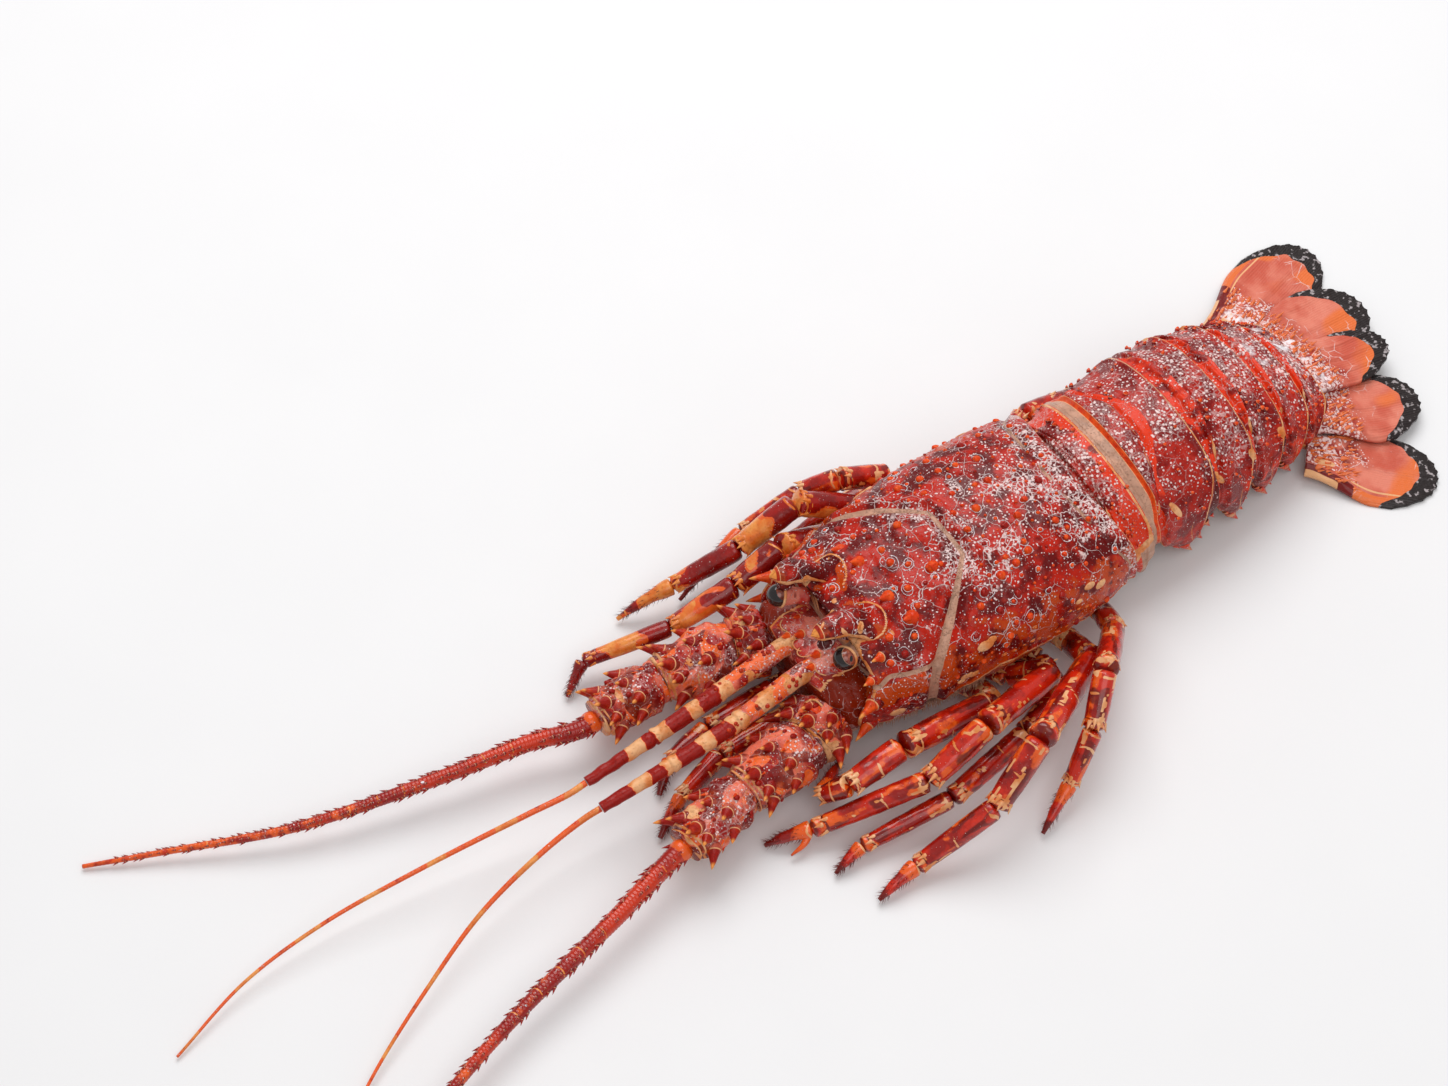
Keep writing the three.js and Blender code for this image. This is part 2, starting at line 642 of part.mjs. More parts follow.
// Mouth legs: the folded pair that lies under the snout
for (const side of ["left", "right"]) {
  const line = MAXILLIPED[side].map((p) => vec(...p));
  const solid = tube(line, MAXILLIPED.radii, 8, { flat: 0.9 });
  addNode(`maxilliped_${side}`, carve(solid, [carapaceGrown, snoutGrown, sternumGrown]), COLOURS.leg);
}

// Walking legs: an upper node from hip to knee and a lower node from knee to claw.
// Each joint has a narrow waist after it and a flared collar before it, which stand further from
// the joint the more sharply it bends.
function limb(points, radii, startNormal, endNormal) {
  const line = [points[0]];
  const widths = [radii[0] * LEG.waist];
  const last = points.length - 1;
  const shareOf = (joint, from, to) => {
    if (joint === 0 || joint === last) return LEG.jointShare;
    const into = points[joint].clone().sub(points[joint - 1]);
    const turn = into.angleTo(points[joint + 1].clone().sub(points[joint]));
    const clear = (radii[joint] * Math.tan(turn / 2)) / points[from].distanceTo(points[to]);
    return Math.min(0.45, Math.max(LEG.jointShare, clear));
  };
  for (let i = 0; i < last; i += 1) {
    const isTip = i + 1 === last && !endNormal;
    line.push(points[i].clone().lerp(points[i + 1], shareOf(i, i, i + 1)));
    line.push(points[i + 1].clone().lerp(points[i], shareOf(i + 1, i, i + 1)));
    widths.push(radii[i], isTip ? mix(radii[i + 1], radii[i], 0.45) : radii[i + 1] * LEG.collar);
    line.push(points[i + 1]);
    widths.push(isTip ? radii[i + 1] : radii[i + 1] * (endNormal && i + 1 === last ? 1 : LEG.waist));
  }
  return tube(line, widths, LEG.sides, { startNormal, endNormal });
}

for (const [name, { path, size }] of Object.entries(LEGS)) {
  const side = name.endsWith("left") ? 1 : -1;
  const [hipY, hipZ] = path[0];
  const points = [[side * 10, hipY, hipZ], ...path.slice(1)].map((p) => vec(...p));
  const [upper, lower] = [points.slice(0, 4), points.slice(3)];
  const upperRadii = LEG.upperRadii.map((r) => r * size);
  const lowerRadii = (lower.length === 4 ? LEG.lowerRadii : LEG.bentRadii).map((r) => r * size);
  const kneeNormal = lower[1].clone().sub(upper[2]).normalize();
  upper[3] = upper[3].clone().addScaledVector(kneeNormal, -GAP / 2);
  lower[0] = lower[0].clone().addScaledVector(kneeNormal, GAP / 2);
  const kneeFoot = upper[3].clone().addScaledVector(kneeNormal, -2.5).add(vec(0, 0, lowerRadii[0] * 0.9));
  const kneeSpine = spine("knee", kneeFoot, vec(0, 0, 1), kneeNormal.clone().multiplyScalar(1.6), size);
  const thigh = fuse([limb(upper, upperRadii, undefined, kneeNormal), kneeSpine]);
  const kneeCut = limb(lower, lowerRadii.map((r) => r + GAP), kneeNormal);
  addNode(`${name}_upper`, carve(thigh, [carapaceGrown, sternumGrown, kneeCut]), COLOURS.leg);
  addNode(`${name}_lower`, limb(lower, lowerRadii, kneeNormal), COLOURS.leg);
}

// Abdomen: six arched plates, each stepped down at its front edge, with pointed side lobes
function abdomenValue(place, column) {
  const { joints } = ABDOMEN;
  return stationValue(joints.map((joint, i) => [i, ...joint]), place, column + 1);
}

function abdomenRing(place, lowZ, sunk, grow) {
  const value = (column) => abdomenValue(place, column);
  const [topY, lowY, halfWidth, crestZ, bellyZ, middleX] = [0, 1, 2, 3, 4, 5].map(value);
  const half = halfWidth - sunk + grow;
  const crest = crestZ - sunk + grow;
  const { pleuronThick, bellyHalf, squareness, columns } = ABDOMEN;
  const arch = archAngles(columns).map((angle) =>
    archPoint(half, crest, lowZ - grow, 0.3, 3.5, squareness, angle, TUCK_SPAN),
  );
  const inner = arch[arch.length - 1][0] - pleuronThick - 2 * grow;
  const shoulder = Math.max(lowZ + 1.5, bellyZ + 1);
  const belly = Math.min(bellyHalf, inner - 3);
  const under = [[inner, lowZ - grow + 0.2], [inner - 1.5, shoulder - grow], [belly, bellyZ - grow]];
  arch.push(...under, ...under.map(([x, z]) => [-x, z]).reverse());
  return arch.map(([x, z]) => vec(x + middleX, mix(lowY, topY, (z - 5) / (crestZ - 5)), z));
}

function abdomenSegment(index, grow = 0) {
  const { pleuronTop, pleuronTip, stepDepth, joints } = ABDOMEN;
  const firstCut = GAP / (joints[index + 1][1] - joints[index][1]);
  const rows = [
    [firstCut - grow / 9, 0.05, stepDepth],
    [0.13, 0.25, stepDepth],
    [0.21, 0.45, 0],
    [0.31, 0.62, 0],
    [0.36, 0.7, ABDOMEN.furrow],
    [0.42, 0.8, 0],
    [0.57, 1, 0],
    [0.82, 0.6, 0],
    [1 + grow / 9, 0.1, 0.4],
  ];
  const rings = rows.map(([t, drop, sunk]) =>
    abdomenRing(index + t, mix(pleuronTop, pleuronTip, drop), sunk, grow),
  );
  return loft(rings, "outline");
}

// Teeth along the rear edge of each side lobe, the largest at its tip
function pleuronTeeth(index) {
  const teeth = [];
  for (const side of [1, -1])
    for (const [t, z, scale] of LOBE_TEETH) {
      const [, lowY, halfWidth, , , middleX] = [0, 1, 2, 3, 4, 5].map((c) => abdomenValue(index + t, c));
      const foot = vec(middleX + side * (halfWidth - 3.6), lowY, z);
      teeth.push(spine("pleuron", foot, vec(side * 0.3, 0, -1), vec(0, 0.35, 0), scale * vary(0.08)));
    }
  return teeth;
}

for (let i = 0; i < 6; i += 1) {
  const cutters = i === 0 ? [carapaceGrown, sternumGrown] : [];
  const plate = fuse([abdomenSegment(i), ...(i === 0 ? [] : pleuronTeeth(i))]);
  addNode(`abdomen_${i + 1}`, carve(plate, cutters), COLOURS.shell);
}

// Tail fan: flat lobes with raised rays, stepped one over another
function lobeSolid({ root, tip, rays }) {
  const [rootX, rootY, rootWidth, rootZ] = root;
  const [tipX, tipY, tipWidth, tipZ] = tip;
  const axis = vec(tipX - rootX, tipY - rootY, 0);
  const length = axis.length();
  axis.normalize();
  const across = vec(-axis.y, axis.x, 0);
  const surface = (u, v, top) => {
    const round = 1 - LOBE.corner * Math.abs(v) ** 2.5;
    const width = mix(rootWidth, tipWidth, smooth(0, 0.6, u)) / 2;
    const reach = u * length * mix(1, round, u ** 2);
    const ray = top ? LOBE.ray * Math.max(0, Math.cos(Math.PI * rays * v)) * (1 - u * 0.6) : 0;
    const z = mix(rootZ, tipZ, smooth(0, 0.62, u)) + (top ? LOBE.thick * mix(1.6, 0.7, u) + ray : 0);
    return vec(rootX, rootY, 0)
      .addScaledVector(axis, reach)
      .addScaledVector(across, v * width)
      .add(vec(0, 0, z));
  };
  const rings = Array.from({ length: LOBE.steps + 1 }, (_, i) => {
    const u = i / LOBE.steps;
    const row = (top) =>
      Array.from({ length: LOBE.columns + 1 }, (_, k) => surface(u, (2 * k) / LOBE.columns - 1, top));
    return [...row(true), ...row(false).reverse()];
  });
  return loft(rings, "strip");
}

const lastPlate = abdomenSegment(5, GAP);
for (const [name, lobe] of Object.entries(TAIL))
  addNode(name, carve(lobeSolid(lobe), [lastPlate]), COLOURS.fan);

export default part;
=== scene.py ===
import math

import bpy
import numpy as np
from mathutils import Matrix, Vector


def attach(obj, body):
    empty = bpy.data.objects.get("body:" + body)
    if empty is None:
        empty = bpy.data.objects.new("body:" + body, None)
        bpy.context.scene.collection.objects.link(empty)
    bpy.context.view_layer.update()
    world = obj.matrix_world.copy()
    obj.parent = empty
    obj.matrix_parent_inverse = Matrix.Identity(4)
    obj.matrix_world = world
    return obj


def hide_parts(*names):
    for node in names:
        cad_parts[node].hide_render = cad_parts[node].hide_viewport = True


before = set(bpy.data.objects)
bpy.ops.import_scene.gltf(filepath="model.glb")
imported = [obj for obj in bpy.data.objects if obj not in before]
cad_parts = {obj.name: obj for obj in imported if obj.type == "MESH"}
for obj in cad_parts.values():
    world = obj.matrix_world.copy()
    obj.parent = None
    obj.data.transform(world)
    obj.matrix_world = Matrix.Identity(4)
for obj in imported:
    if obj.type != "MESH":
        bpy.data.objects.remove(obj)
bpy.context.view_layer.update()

MM = 0.001
# The least height of a visible point above the table, in millimetres
LEAST_HEIGHT = 0.05
QUARTER = math.pi / 2
UP = (0.0, 0.0, 1.0)
# How far the angle round a shell runs on past its widest line, in radians
TUCK_SPAN = 0.5
rng = np.random.default_rng(20)

# Number helpers


def clamp01(t):
    return np.clip(t, 0.0, 1.0)


def smooth(a, b, t):
    """Zero at a and one at b, with a smooth step between."""
    s = clamp01((np.asarray(t, float) - a) / (b - a))
    return s * s * (3 - 2 * s)


def mix(a, b, t):
    return a + (b - a) * t


def bell(x, half):
    """One at x = 0, falling smoothly to zero at half."""
    return clamp01(1 - (x / half) ** 2) ** 2


def unit(v):
    length = np.linalg.norm(v, axis=-1, keepdims=True)
    return v / np.where(length < 1e-12, 1, length)


def turns(count, shift=0.0):
    """Angles evenly spaced round a circle."""
    return 2 * math.pi * (np.arange(count) + shift) / count


def station(table, keys, column):
    """A column of a table, read at keys of its first column on a smooth curve."""
    t = np.asarray(table, float)
    last = len(t) - 1
    k = np.clip(keys, t[0, 0], t[-1, 0])
    i = np.clip(np.searchsorted(t[:, 0], k, side="right") - 1, 0, last - 1)

    def slope(j):
        a, b = np.clip(j - 1, 0, last), np.clip(j + 1, 0, last)
        return (t[b, column] - t[a, column]) / (t[b, 0] - t[a, 0])

    w = t[i + 1, 0] - t[i, 0]
    s = (k - t[i, 0]) / w
    return (
        t[i, column] * (2 * s**3 - 3 * s**2 + 1)
        + slope(i) * w * (s**3 - 2 * s**2 + s)
        + t[i + 1, column] * (3 * s**2 - 2 * s**3)
        + slope(i + 1) * w * (s**3 - s**2)
    )


def wave(p, scale, seed):
    """Cheap smooth noise from a few sine waves, about -1 to 1, for points in millimetres."""
    local = np.random.default_rng(seed)
    total = np.zeros(p.shape[:-1])
    for _ in range(6):
        d = local.normal(size=3)
        d *= 2 * math.pi / scale / np.linalg.norm(d) * local.uniform(0.6, 1.5)
        total += np.sin(p @ d + local.uniform(0, 6.28))
    return total / 3.2


# Mesh helpers. A mark is a value per point that the materials read.

MARKS = ("orange", "cream", "dark", "frost", "tip", "skin")


def part(v, quads, tris=None, **marks):
    """Points, faces and marks, with the faces turned so that the volume is positive."""
    v = np.asarray(v, float).reshape(-1, 3)
    tris = np.zeros((0, 3), int) if tris is None else tris
    fan = np.concatenate([tris, quads[:, :3], quads[:, [0, 2, 3]]])
    a, b, c = (v[fan[:, i]] - v.mean(0) for i in range(3))
    if np.einsum("ij,ij->i", a, np.cross(b, c)).sum() < 0:
        quads, tris = quads[:, ::-1], tris[:, ::-1]
    full = {m: np.broadcast_to(np.asarray(marks.get(m, 0.0), float), (len(v),)) for m in MARKS}
    return {"v": v, "quads": quads, "tris": tris, "marks": full}


def grid_faces(rows, cols, around=False, along=False):
    """Quads of a grid of points, closed around its columns or along its rows if wanted."""
    r = np.arange(rows if along else rows - 1)
    c = np.arange(cols if around else cols - 1)
    R, C = np.meshgrid(r, c, indexing="ij")
    at = lambda i, j: (i % rows) * cols + (j % cols)
    return np.stack([at(R, C), at(R, C + 1), at(R + 1, C + 1), at(R + 1, C)], -1).reshape(-1, 4)


def repeated(faces, count, stride):
    """The faces of one shape for many copies of it, whose points lie a stride apart."""
    return (faces[None] + (np.arange(count) * stride)[:, None, None]).reshape(-1, faces.shape[1])


def rings_part(P, **marks):
    """A closed tube of rings P (rows, columns, 3), with fan caps."""
    rows, cols = P.shape[:2]
    flat = {m: np.broadcast_to(a, (rows, cols)).reshape(-1) for m, a in marks.items()}
    tris, centres = [], []
    for end in (0, rows - 1):
        ring = end * cols + np.arange(cols)
        after = end * cols + (np.arange(cols) + 1) % cols
        a, b = (after, ring) if end == 0 else (ring, after)
        tris.append(np.stack([a, b, np.full(cols, rows * cols + len(centres))], -1))
        centres.append(P[end].mean(0))
        flat = {m: np.append(a, a[end * cols]) for m, a in flat.items()}
    v = np.concatenate([P.reshape(-1, 3), centres])
    return part(v, grid_faces(rows, cols, around=True), np.concatenate(tris), **flat)


def piece(name, parts, material, nodes):
    """One Blender object from parts in millimetres, standing for CAD nodes."""
    v = np.concatenate([p["v"] for p in parts])
    v[:, 2] = np.maximum(v[:, 2], LEAST_HEIGHT)
    offsets = np.cumsum([0] + [len(p["v"]) for p in parts[:-1]])
    faces = []
    for kind in ("quads", "tris"):
        for p, offset in zip(parts, offsets):
            faces += (p[kind] + offset).tolist()
    mesh = bpy.data.meshes.new(name)
    mesh.from_pydata((v * MM).tolist(), [], faces)
    for m in MARKS:
        layer = mesh.attributes.new(m, "FLOAT", "POINT")
        values = np.concatenate([p["marks"][m] for p in parts])
        layer.data.foreach_set("value", values.astype(np.float32))
    mesh.polygons.foreach_set("use_smooth", np.ones(len(faces), bool))
    mesh.update()
    mesh.materials.append(material)
    obj = bpy.data.objects.new(name, mesh)
    bpy.context.scene.collection.objects.link(obj)
    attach(obj, "root")
    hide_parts(*nodes)


def frames(line, first=None, last=None):
    """Directions along, across and up from a line of points, without twist."""
    step = unit(np.diff(line, axis=0))
    along = np.concatenate([step[:1], unit(step[:-1] + step[1:]), step[-1:]])
    if first is not None:
        along[0] = first
    if last is not None:
        along[-1] = last
    side = np.cross(along[0], UP)
    across = []
    for a in along:
        side = unit(side - a * (side @ a))
        across.append(side)
    across = np.array(across)
    return along, across, unit(np.cross(across, along))


def spoke(across, up, turn, flat=1.0):
    """The direction at an angle round a line."""
    return across * math.cos(turn) + up * math.sin(turn) * flat


def tube_points(line, radii, sides, flat=1.0, first=None, last=None):
    """Rings of points round a line, flat times as high as they are wide."""
    along, across, up = frames(line, first, last)
    angle = turns(sides, 0.5)
    reach = np.broadcast_to(np.asarray(radii, float), (len(line),))[:, None]
    return (
        line[:, None, :]
        + across[:, None, :] * (np.cos(angle) * reach)[..., None]
        + up[:, None, :] * (np.sin(angle) * reach * flat)[..., None]
    )


def smooth_line(points, count):
    """A Catmull-Rom curve through points, evenly spaced."""
    p = np.asarray(points, float)
    ext = np.concatenate([2 * p[:1] - p[1:2], p, 2 * p[-1:] - p[-2:-1]])
    knots = np.concatenate([[0], np.cumsum(np.linalg.norm(np.diff(ext, axis=0), axis=1) ** 0.5)])
    fine = []
    for i in range(1, len(ext) - 2):
        t = np.linspace(knots[i], knots[i + 1], 40, endpoint=False)[:, None]
        t0, t1, t2, t3 = knots[i - 1 : i + 3]
        p0, p1, p2, p3 = ext[i - 1 : i + 3]
        a1 = (t1 - t) / (t1 - t0) * p0 + (t - t0) / (t1 - t0) * p1
        a2 = (t2 - t) / (t2 - t1) * p1 + (t - t1) / (t2 - t1) * p2
        a3 = (t3 - t) / (t3 - t2) * p2 + (t - t2) / (t3 - t2) * p3
        b1 = (t2 - t) / (t2 - t0) * a1 + (t - t0) / (t2 - t0) * a2
        b2 = (t3 - t) / (t3 - t1) * a2 + (t - t1) / (t3 - t1) * a3
        fine.append((t2 - t) / (t2 - t1) * b1 + (t - t1) / (t2 - t1) * b2)
    fine = np.concatenate(fine + [p[-1:]])
    arc = np.concatenate([[0], np.cumsum(np.linalg.norm(np.diff(fine, axis=0), axis=1))])
    at = np.linspace(0, arc[-1], count)
    return np.stack([np.interp(at, arc, fine[:, k]) for k in range(3)], -1)


# Outlines of studs: share of the length, share of the radius
SPIKE = [(-0.35, 1.25), (0.0, 1.12), (0.12, 0.92), (0.35, 0.66), (0.62, 0.4), (0.85, 0.19), (1.0, 0.03)]
DOME = [(-0.7, 1.12), (0.0, 1.1), (0.15, 1.04), (0.4, 0.9), (0.7, 0.66), (0.9, 0.36), (1.0, 0.05)]
DISC = [(-1.0, 1.2), (0.0, 1.05), (0.5, 0.95), (0.8, 0.75), (0.95, 0.45), (1.0, 0.05)]
HORNLET = [(-0.4, 1.5), (-0.02, 1.25), (0.12, 1.0), (0.35, 0.74), (0.62, 0.5), (0.85, 0.27), (1.0, 0.05)]
STUD_BEND = 0.25
NO_LEAN = (0, 0, 0)


def studs(
    feet, outward, lean, length, radius, profile=SPIKE, sides=8, top=1.0, stretch=(1, 1), pale=0.0, **marks
):
    """Many curved cones or domes with their roots sunk in the surface, as one part."""
    feet, outward = np.atleast_2d(feet), unit(np.atleast_2d(outward))
    n = len(feet)
    lean = np.broadcast_to(np.asarray(lean, float), (n, 3))
    length = np.broadcast_to(length, (n,))
    radius = np.broadcast_to(radius, (n,))
    along = unit(outward + lean)
    guide = (0.31, 0.2, 0.93) if stretch == (1, 1) else (0.05, 1.0, 0.1)
    side = unit(np.cross(along, guide))
    other = np.cross(along, side)
    stages, widths = np.array(profile).T
    angle = turns(sides)
    curve = stages * np.abs(stages) * STUD_BEND
    line = feet[:, None] + along[:, None] * (stages[None, :, None] * length[:, None, None])
    line = line + unit(lean)[:, None] * (curve[None, :, None] * length[:, None, None])
    ring = side[:, None, :] * (np.cos(angle) * stretch[0])[None, :, None]
    ring = ring + other[:, None, :] * (np.sin(angle) * stretch[1])[None, :, None]
    P = line[:, :, None] + ring[:, None] * (widths[None, :, None, None] * radius[:, None, None, None])
    rows = len(stages)
    quads = repeated(grid_faces(rows, sides, around=True), n, rows * sides)
    end = (rows - 1) * sides + np.arange(sides)
    close = repeated(np.stack([np.full(sides - 2, end[0]), end[1:-1], end[2:]], -1), n, rows * sides)
    tip = np.broadcast_to(clamp01(stages)[None, :, None] * top, (n, rows, sides)).reshape(-1)
    spread = {m: np.repeat(a, rows * sides) if np.ndim(a) else a for m, a in marks.items()}
    if pale:
        # orange to the foot, but for a pale crescent on the side of the head
        toward = ring @ np.array([0.35, -0.93, 0.0])
        foot = smooth(pale, pale * 0.6, stages)[None, :, None] * smooth(0.2, 0.45, toward)[:, None, :]
        tip = 0.5 * (1 - foot).reshape(-1)
        spread["cream"] = 1.2 * foot.reshape(-1)
    return part(P, quads, close, tip=tip, **spread)


def loops(feet, outward, radius, thick, seed, sides=16, **marks):
    """Thin uneven rings of frost or skin lying on a surface."""
    feet, outward = np.atleast_2d(feet), unit(np.atleast_2d(outward))
    local = np.random.default_rng(seed)
    n = len(feet)
    side = unit(np.cross(outward, (0.31, 0.9, 0.2)))
    other = np.cross(outward, side)
    turn, small = turns(sides), turns(4)
    uneven = 1 + 0.16 * np.sin(2 * turn + local.uniform(0, 6, (n, 1)))
    uneven = uneven + 0.09 * np.sin(3 * turn + local.uniform(0, 6, (n, 1)))
    reach = np.broadcast_to(radius, (n,))[:, None] * uneven
    way = side[:, None] * np.cos(turn)[:, None] + other[:, None] * np.sin(turn)[:, None]
    # a wide ring sags, since the shell under it is round
    sag = reach**2 / 75
    middle = feet[:, None] + way * reach[..., None] - outward[:, None] * (sag - 0.3 * thick)[..., None]
    P = middle[:, :, None] + thick * (
        way[:, :, None] * np.cos(small)[:, None] + outward[:, None, None] * np.sin(small)[:, None]
    )
    quads = repeated(grid_faces(sides, 4, around=True, along=True), n, sides * 4)
    return part(P, quads, **marks)


def ball(centre, radius, stretch=(1, 1, 1), rows=40, cols=56):
    polar = np.linspace(0.02, math.pi - 0.02, rows)[:, None]
    turn = turns(cols)
    P = np.stack([np.sin(polar) * np.cos(turn), np.sin(polar) * np.sin(turn), np.cos(polar) + 0 * turn], -1)
    return np.asarray(centre) + P * radius * np.asarray(stretch)


# Material helpers


class Paint:
    """A short way to write a node tree."""

    def __init__(self, name):
        self.material = bpy.data.materials.new(name)
        self.material.use_nodes = True
        self.tree = self.material.node_tree
        self.tree.nodes.clear()
        self.place = self.new("ShaderNodeTexCoord").outputs["Object"]

    def new(self, kind, inputs=(), **settings):
        """A node with its settings, then the value or link of each input."""
        node = self.tree.nodes.new(kind)
        for key, value in settings.items():
            setattr(node, key, value)
        for key, value in dict(inputs).items():
            socket = node.inputs[key]
            if isinstance(value, bpy.types.NodeSocket):
                self.tree.links.new(value, socket)
            elif socket.type == "RGBA":
                socket.default_value = (*value, 1)
            else:
                socket.default_value = value
        return node

    def math(self, operation, a, b):
        return self.new("ShaderNodeMath", {0: a, 1: b}, operation=operation).outputs[0]

    def add(self, a, b):
        return self.math("ADD", a, b)

    def minus(self, a, b):
        return self.math("SUBTRACT", a, b)

    def times(self, a, b):
        return self.math("MULTIPLY", a, b)

    def step(self, value, low, high):
        """Zero below low and one above high, with a smooth step between."""
        inputs = {"Value": value, "From Min": low, "From Max": high}
        return self.new("ShaderNodeMapRange", inputs, interpolation_type="SMOOTHSTEP").outputs[0]

    def mix(self, factor, a, b):
        return self.new("ShaderNodeMix", {0: factor, 6: a, 7: b}, data_type="RGBA").outputs[2]

    def mark(self, name):
        return self.new("ShaderNodeAttribute", attribute_name=name).outputs["Fac"]

    def noise(self, scale, detail=2.0, place=None):
        inputs = {"Vector": self.place if place is None else place, "Scale": scale, "Detail": detail}
        return self.new("ShaderNodeTexNoise", inputs).outputs["Fac"]

    def cells(self, scale, feature="F1", place=None):
        inputs = {"Vector": self.place if place is None else place, "Scale": scale}
        return self.new("ShaderNodeTexVoronoi", inputs, feature=feature).outputs["Distance"]

    def warped(self, scale, amount):
        """The place moved by noise, so that a pattern on it wanders."""
        noise = self.new("ShaderNodeTexNoise", {"Vector": self.place, "Scale": scale})
        inputs = {0: noise.outputs["Color"], 1: (amount, amount, amount), 2: self.place}
        return self.new("ShaderNodeVectorMath", inputs, operation="MULTIPLY_ADD").outputs[0]

    def stirred(self, mark, scale, detail, amount):
        """A mark with noise about zero added."""
        noise = self.minus(self.noise(scale, detail), 0.5)
        return self.add(self.mark(mark), self.times(noise, amount))

    def finish(self, colour, roughness, height, bump=0.0006, strength=0.6, coat=0.25):
        relief = self.new("ShaderNodeBump", {"Strength": strength, "Distance": bump, "Height": height})
        inputs = {
            "Base Color": colour,
            "Roughness": roughness,
            "Normal": relief.outputs[0],
            "Coat Weight": coat,
            "Coat Roughness": 0.1,
            "IOR": 1.5,
            "Specular IOR Level": 0.14,
        }
        shader = self.new("ShaderNodeBsdfPrincipled", inputs)
        self.new("ShaderNodeOutputMaterial", {0: shader.outputs[0]})
        return self.material


CREAM = (0.80, 0.42, 0.20)
GOLD = (0.78, 0.28, 0.06)
SKIN = (0.58, 0.32, 0.22)
ORANGE = (0.78, 0.085, 0.008)
FROST = (0.88, 0.68, 0.66)
POWDER = (0.90, 0.84, 0.87)


def darker(colour, share):
    return tuple(np.array(colour) * share)


def shell_material(
    name, deep, red, warm, blotch=130, dots=1.0, lines=1.0, cream=CREAM, patch=55, coat=0.14, wet=-0.05
):
    """Cooked shell: mottled red under frost that gathers as fine dots, thin lines and powder."""
    p = Paint(name)
    colour = p.mix(p.step(p.noise(blotch, 6, p.warped(420, 0.0011)), 0.42, 0.58), deep, red)
    colour = p.mix(p.step(p.stirred("orange", 260, 5, 1.6), 0.4, 0.7), colour, warm)
    shade = p.stirred("dark", 340, 3, 0.5)
    colour = p.mix(p.times(p.step(shade, 0.35, 0.65), 0.9), colour, darker(deep, 0.45))
    # ice is where the frost lies
    ice = p.step(p.stirred("frost", patch, 5, 1.9), 0.0, 0.95)
    speck = p.add(p.times(ice, 0.22 * dots), p.times(p.noise(260, 2), 0.34 * dots))
    speck = p.step(p.minus(speck, p.cells(800, "F1", p.warped(1300, 0.0005))), -0.05, 0.02)
    net = p.minus(1.0, p.step(p.cells(520, "DISTANCE_TO_EDGE", p.warped(700, 0.0009)), 0.03, 0.12))
    net = p.times(net, p.step(p.add(p.times(ice, 0.4), p.noise(120, 3)), 0.72, 0.86))
    speck = p.math("MAXIMUM", speck, p.times(net, lines))
    fine = p.minus(p.add(0.2 * dots, p.times(ice, 0.1 * dots)), p.cells(1050))
    fine = p.step(fine, -0.05, 0.04)
    line = p.minus(1.0, p.step(p.cells(150, "DISTANCE_TO_EDGE", p.warped(300, 0.0022)), 0.006, 0.022))
    line = p.times(line, p.step(p.add(p.noise(70, 2), p.times(ice, 0.25)), 0.48, 0.58))
    line = p.times(line, lines)
    haze = p.times(ice, p.step(p.noise(650, 5), 0.42, 0.72))
    for share, amount in ((haze, 0.07 * dots), (fine, 0.2), (speck, 0.9), (line, 0.8)):
        colour = p.mix(p.times(share, amount), colour, FROST)
    soft = p.mix(p.step(p.noise(190, 4), 0.36, 0.62), darker(cream, (0.86, 0.5, 0.25)), cream)
    colour = p.mix(p.step(p.stirred("cream", 330, 3, 0.5), 0.40, 0.54), colour, soft)
    thin = p.mix(p.step(p.noise(160, 4), 0.35, 0.65), SKIN, darker(SKIN, 0.72))
    colour = p.mix(p.step(p.mark("skin"), 0.35, 0.6), colour, thin)
    # a stud is cream at its foot, orange or dark red up its side and gold at its top
    tip = p.mark("tip")
    colour = p.mix(p.step(tip, 0.008, 0.03), colour, CREAM)
    body = p.mix(p.step(p.noise(420, 3), 0.35, 0.65), ORANGE, (0.62, 0.035, 0.003))
    body = p.mix(p.step(shade, 0.3, 0.6), body, (0.30, 0.008, 0.004))
    colour = p.mix(p.step(tip, 0.035, 0.09), colour, body)
    colour = p.mix(p.step(tip, 0.66, 0.86), colour, GOLD)
    powder = p.step(p.stirred("frost", 110, 8, 2.2), 1.2, 1.55)
    colour = p.mix(powder, colour, POWDER)
    rough = p.add(p.times(haze, 0.3), p.times(p.noise(600, 3), 0.22))
    rough = p.add(p.add(rough, 0.14 - wet), p.times(powder, 0.4))
    height = p.add(p.times(p.add(speck, fine), 0.5), p.times(line, 0.5))
    height = p.add(height, p.times(p.noise(520, 4), 0.7))
    height = p.add(height, p.times(powder, 0.5))
    return p.finish(colour, rough, height, bump=0.0008, strength=0.85, coat=coat)


SHELL = shell_material("shell", (0.12, 0.001, 0.001), (0.46, 0.012, 0.002), (0.50, 0.05, 0.002))
PLATE = shell_material(
    "plate_shell", (0.19, 0.003, 0.002), (0.42, 0.014, 0.005), (0.70, 0.035, 0.006),
    patch=75, lines=0.35,
)
FRONT = shell_material(
    "front_shell", (0.33, 0.008, 0.005), (0.80, 0.17, 0.10), (0.80, 0.12, 0.02),
    blotch=95, dots=0.8, lines=0.3,
)
LEG = shell_material(
    "leg_shell", (0.28, 0.004, 0.001), (0.56, 0.016, 0.002), (0.78, 0.10, 0.008),
    dots=0.35, lines=0.0, coat=0.8, wet=0.05,
)
SPOT = shell_material(
    "spotted_leg", (0.20, 0.002, 0.001), (0.32, 0.005, 0.002), (0.72, 0.10, 0.012),
    dots=0.45, lines=0.0, cream=GOLD, coat=0.7, wet=0.04,
)
WHIP = shell_material(
    "feeler_shell", (0.30, 0.006, 0.002), (0.56, 0.03, 0.004), (0.76, 0.10, 0.010),
    blotch=40, dots=0.55, lines=0.0, cream=GOLD, coat=0.6,
)
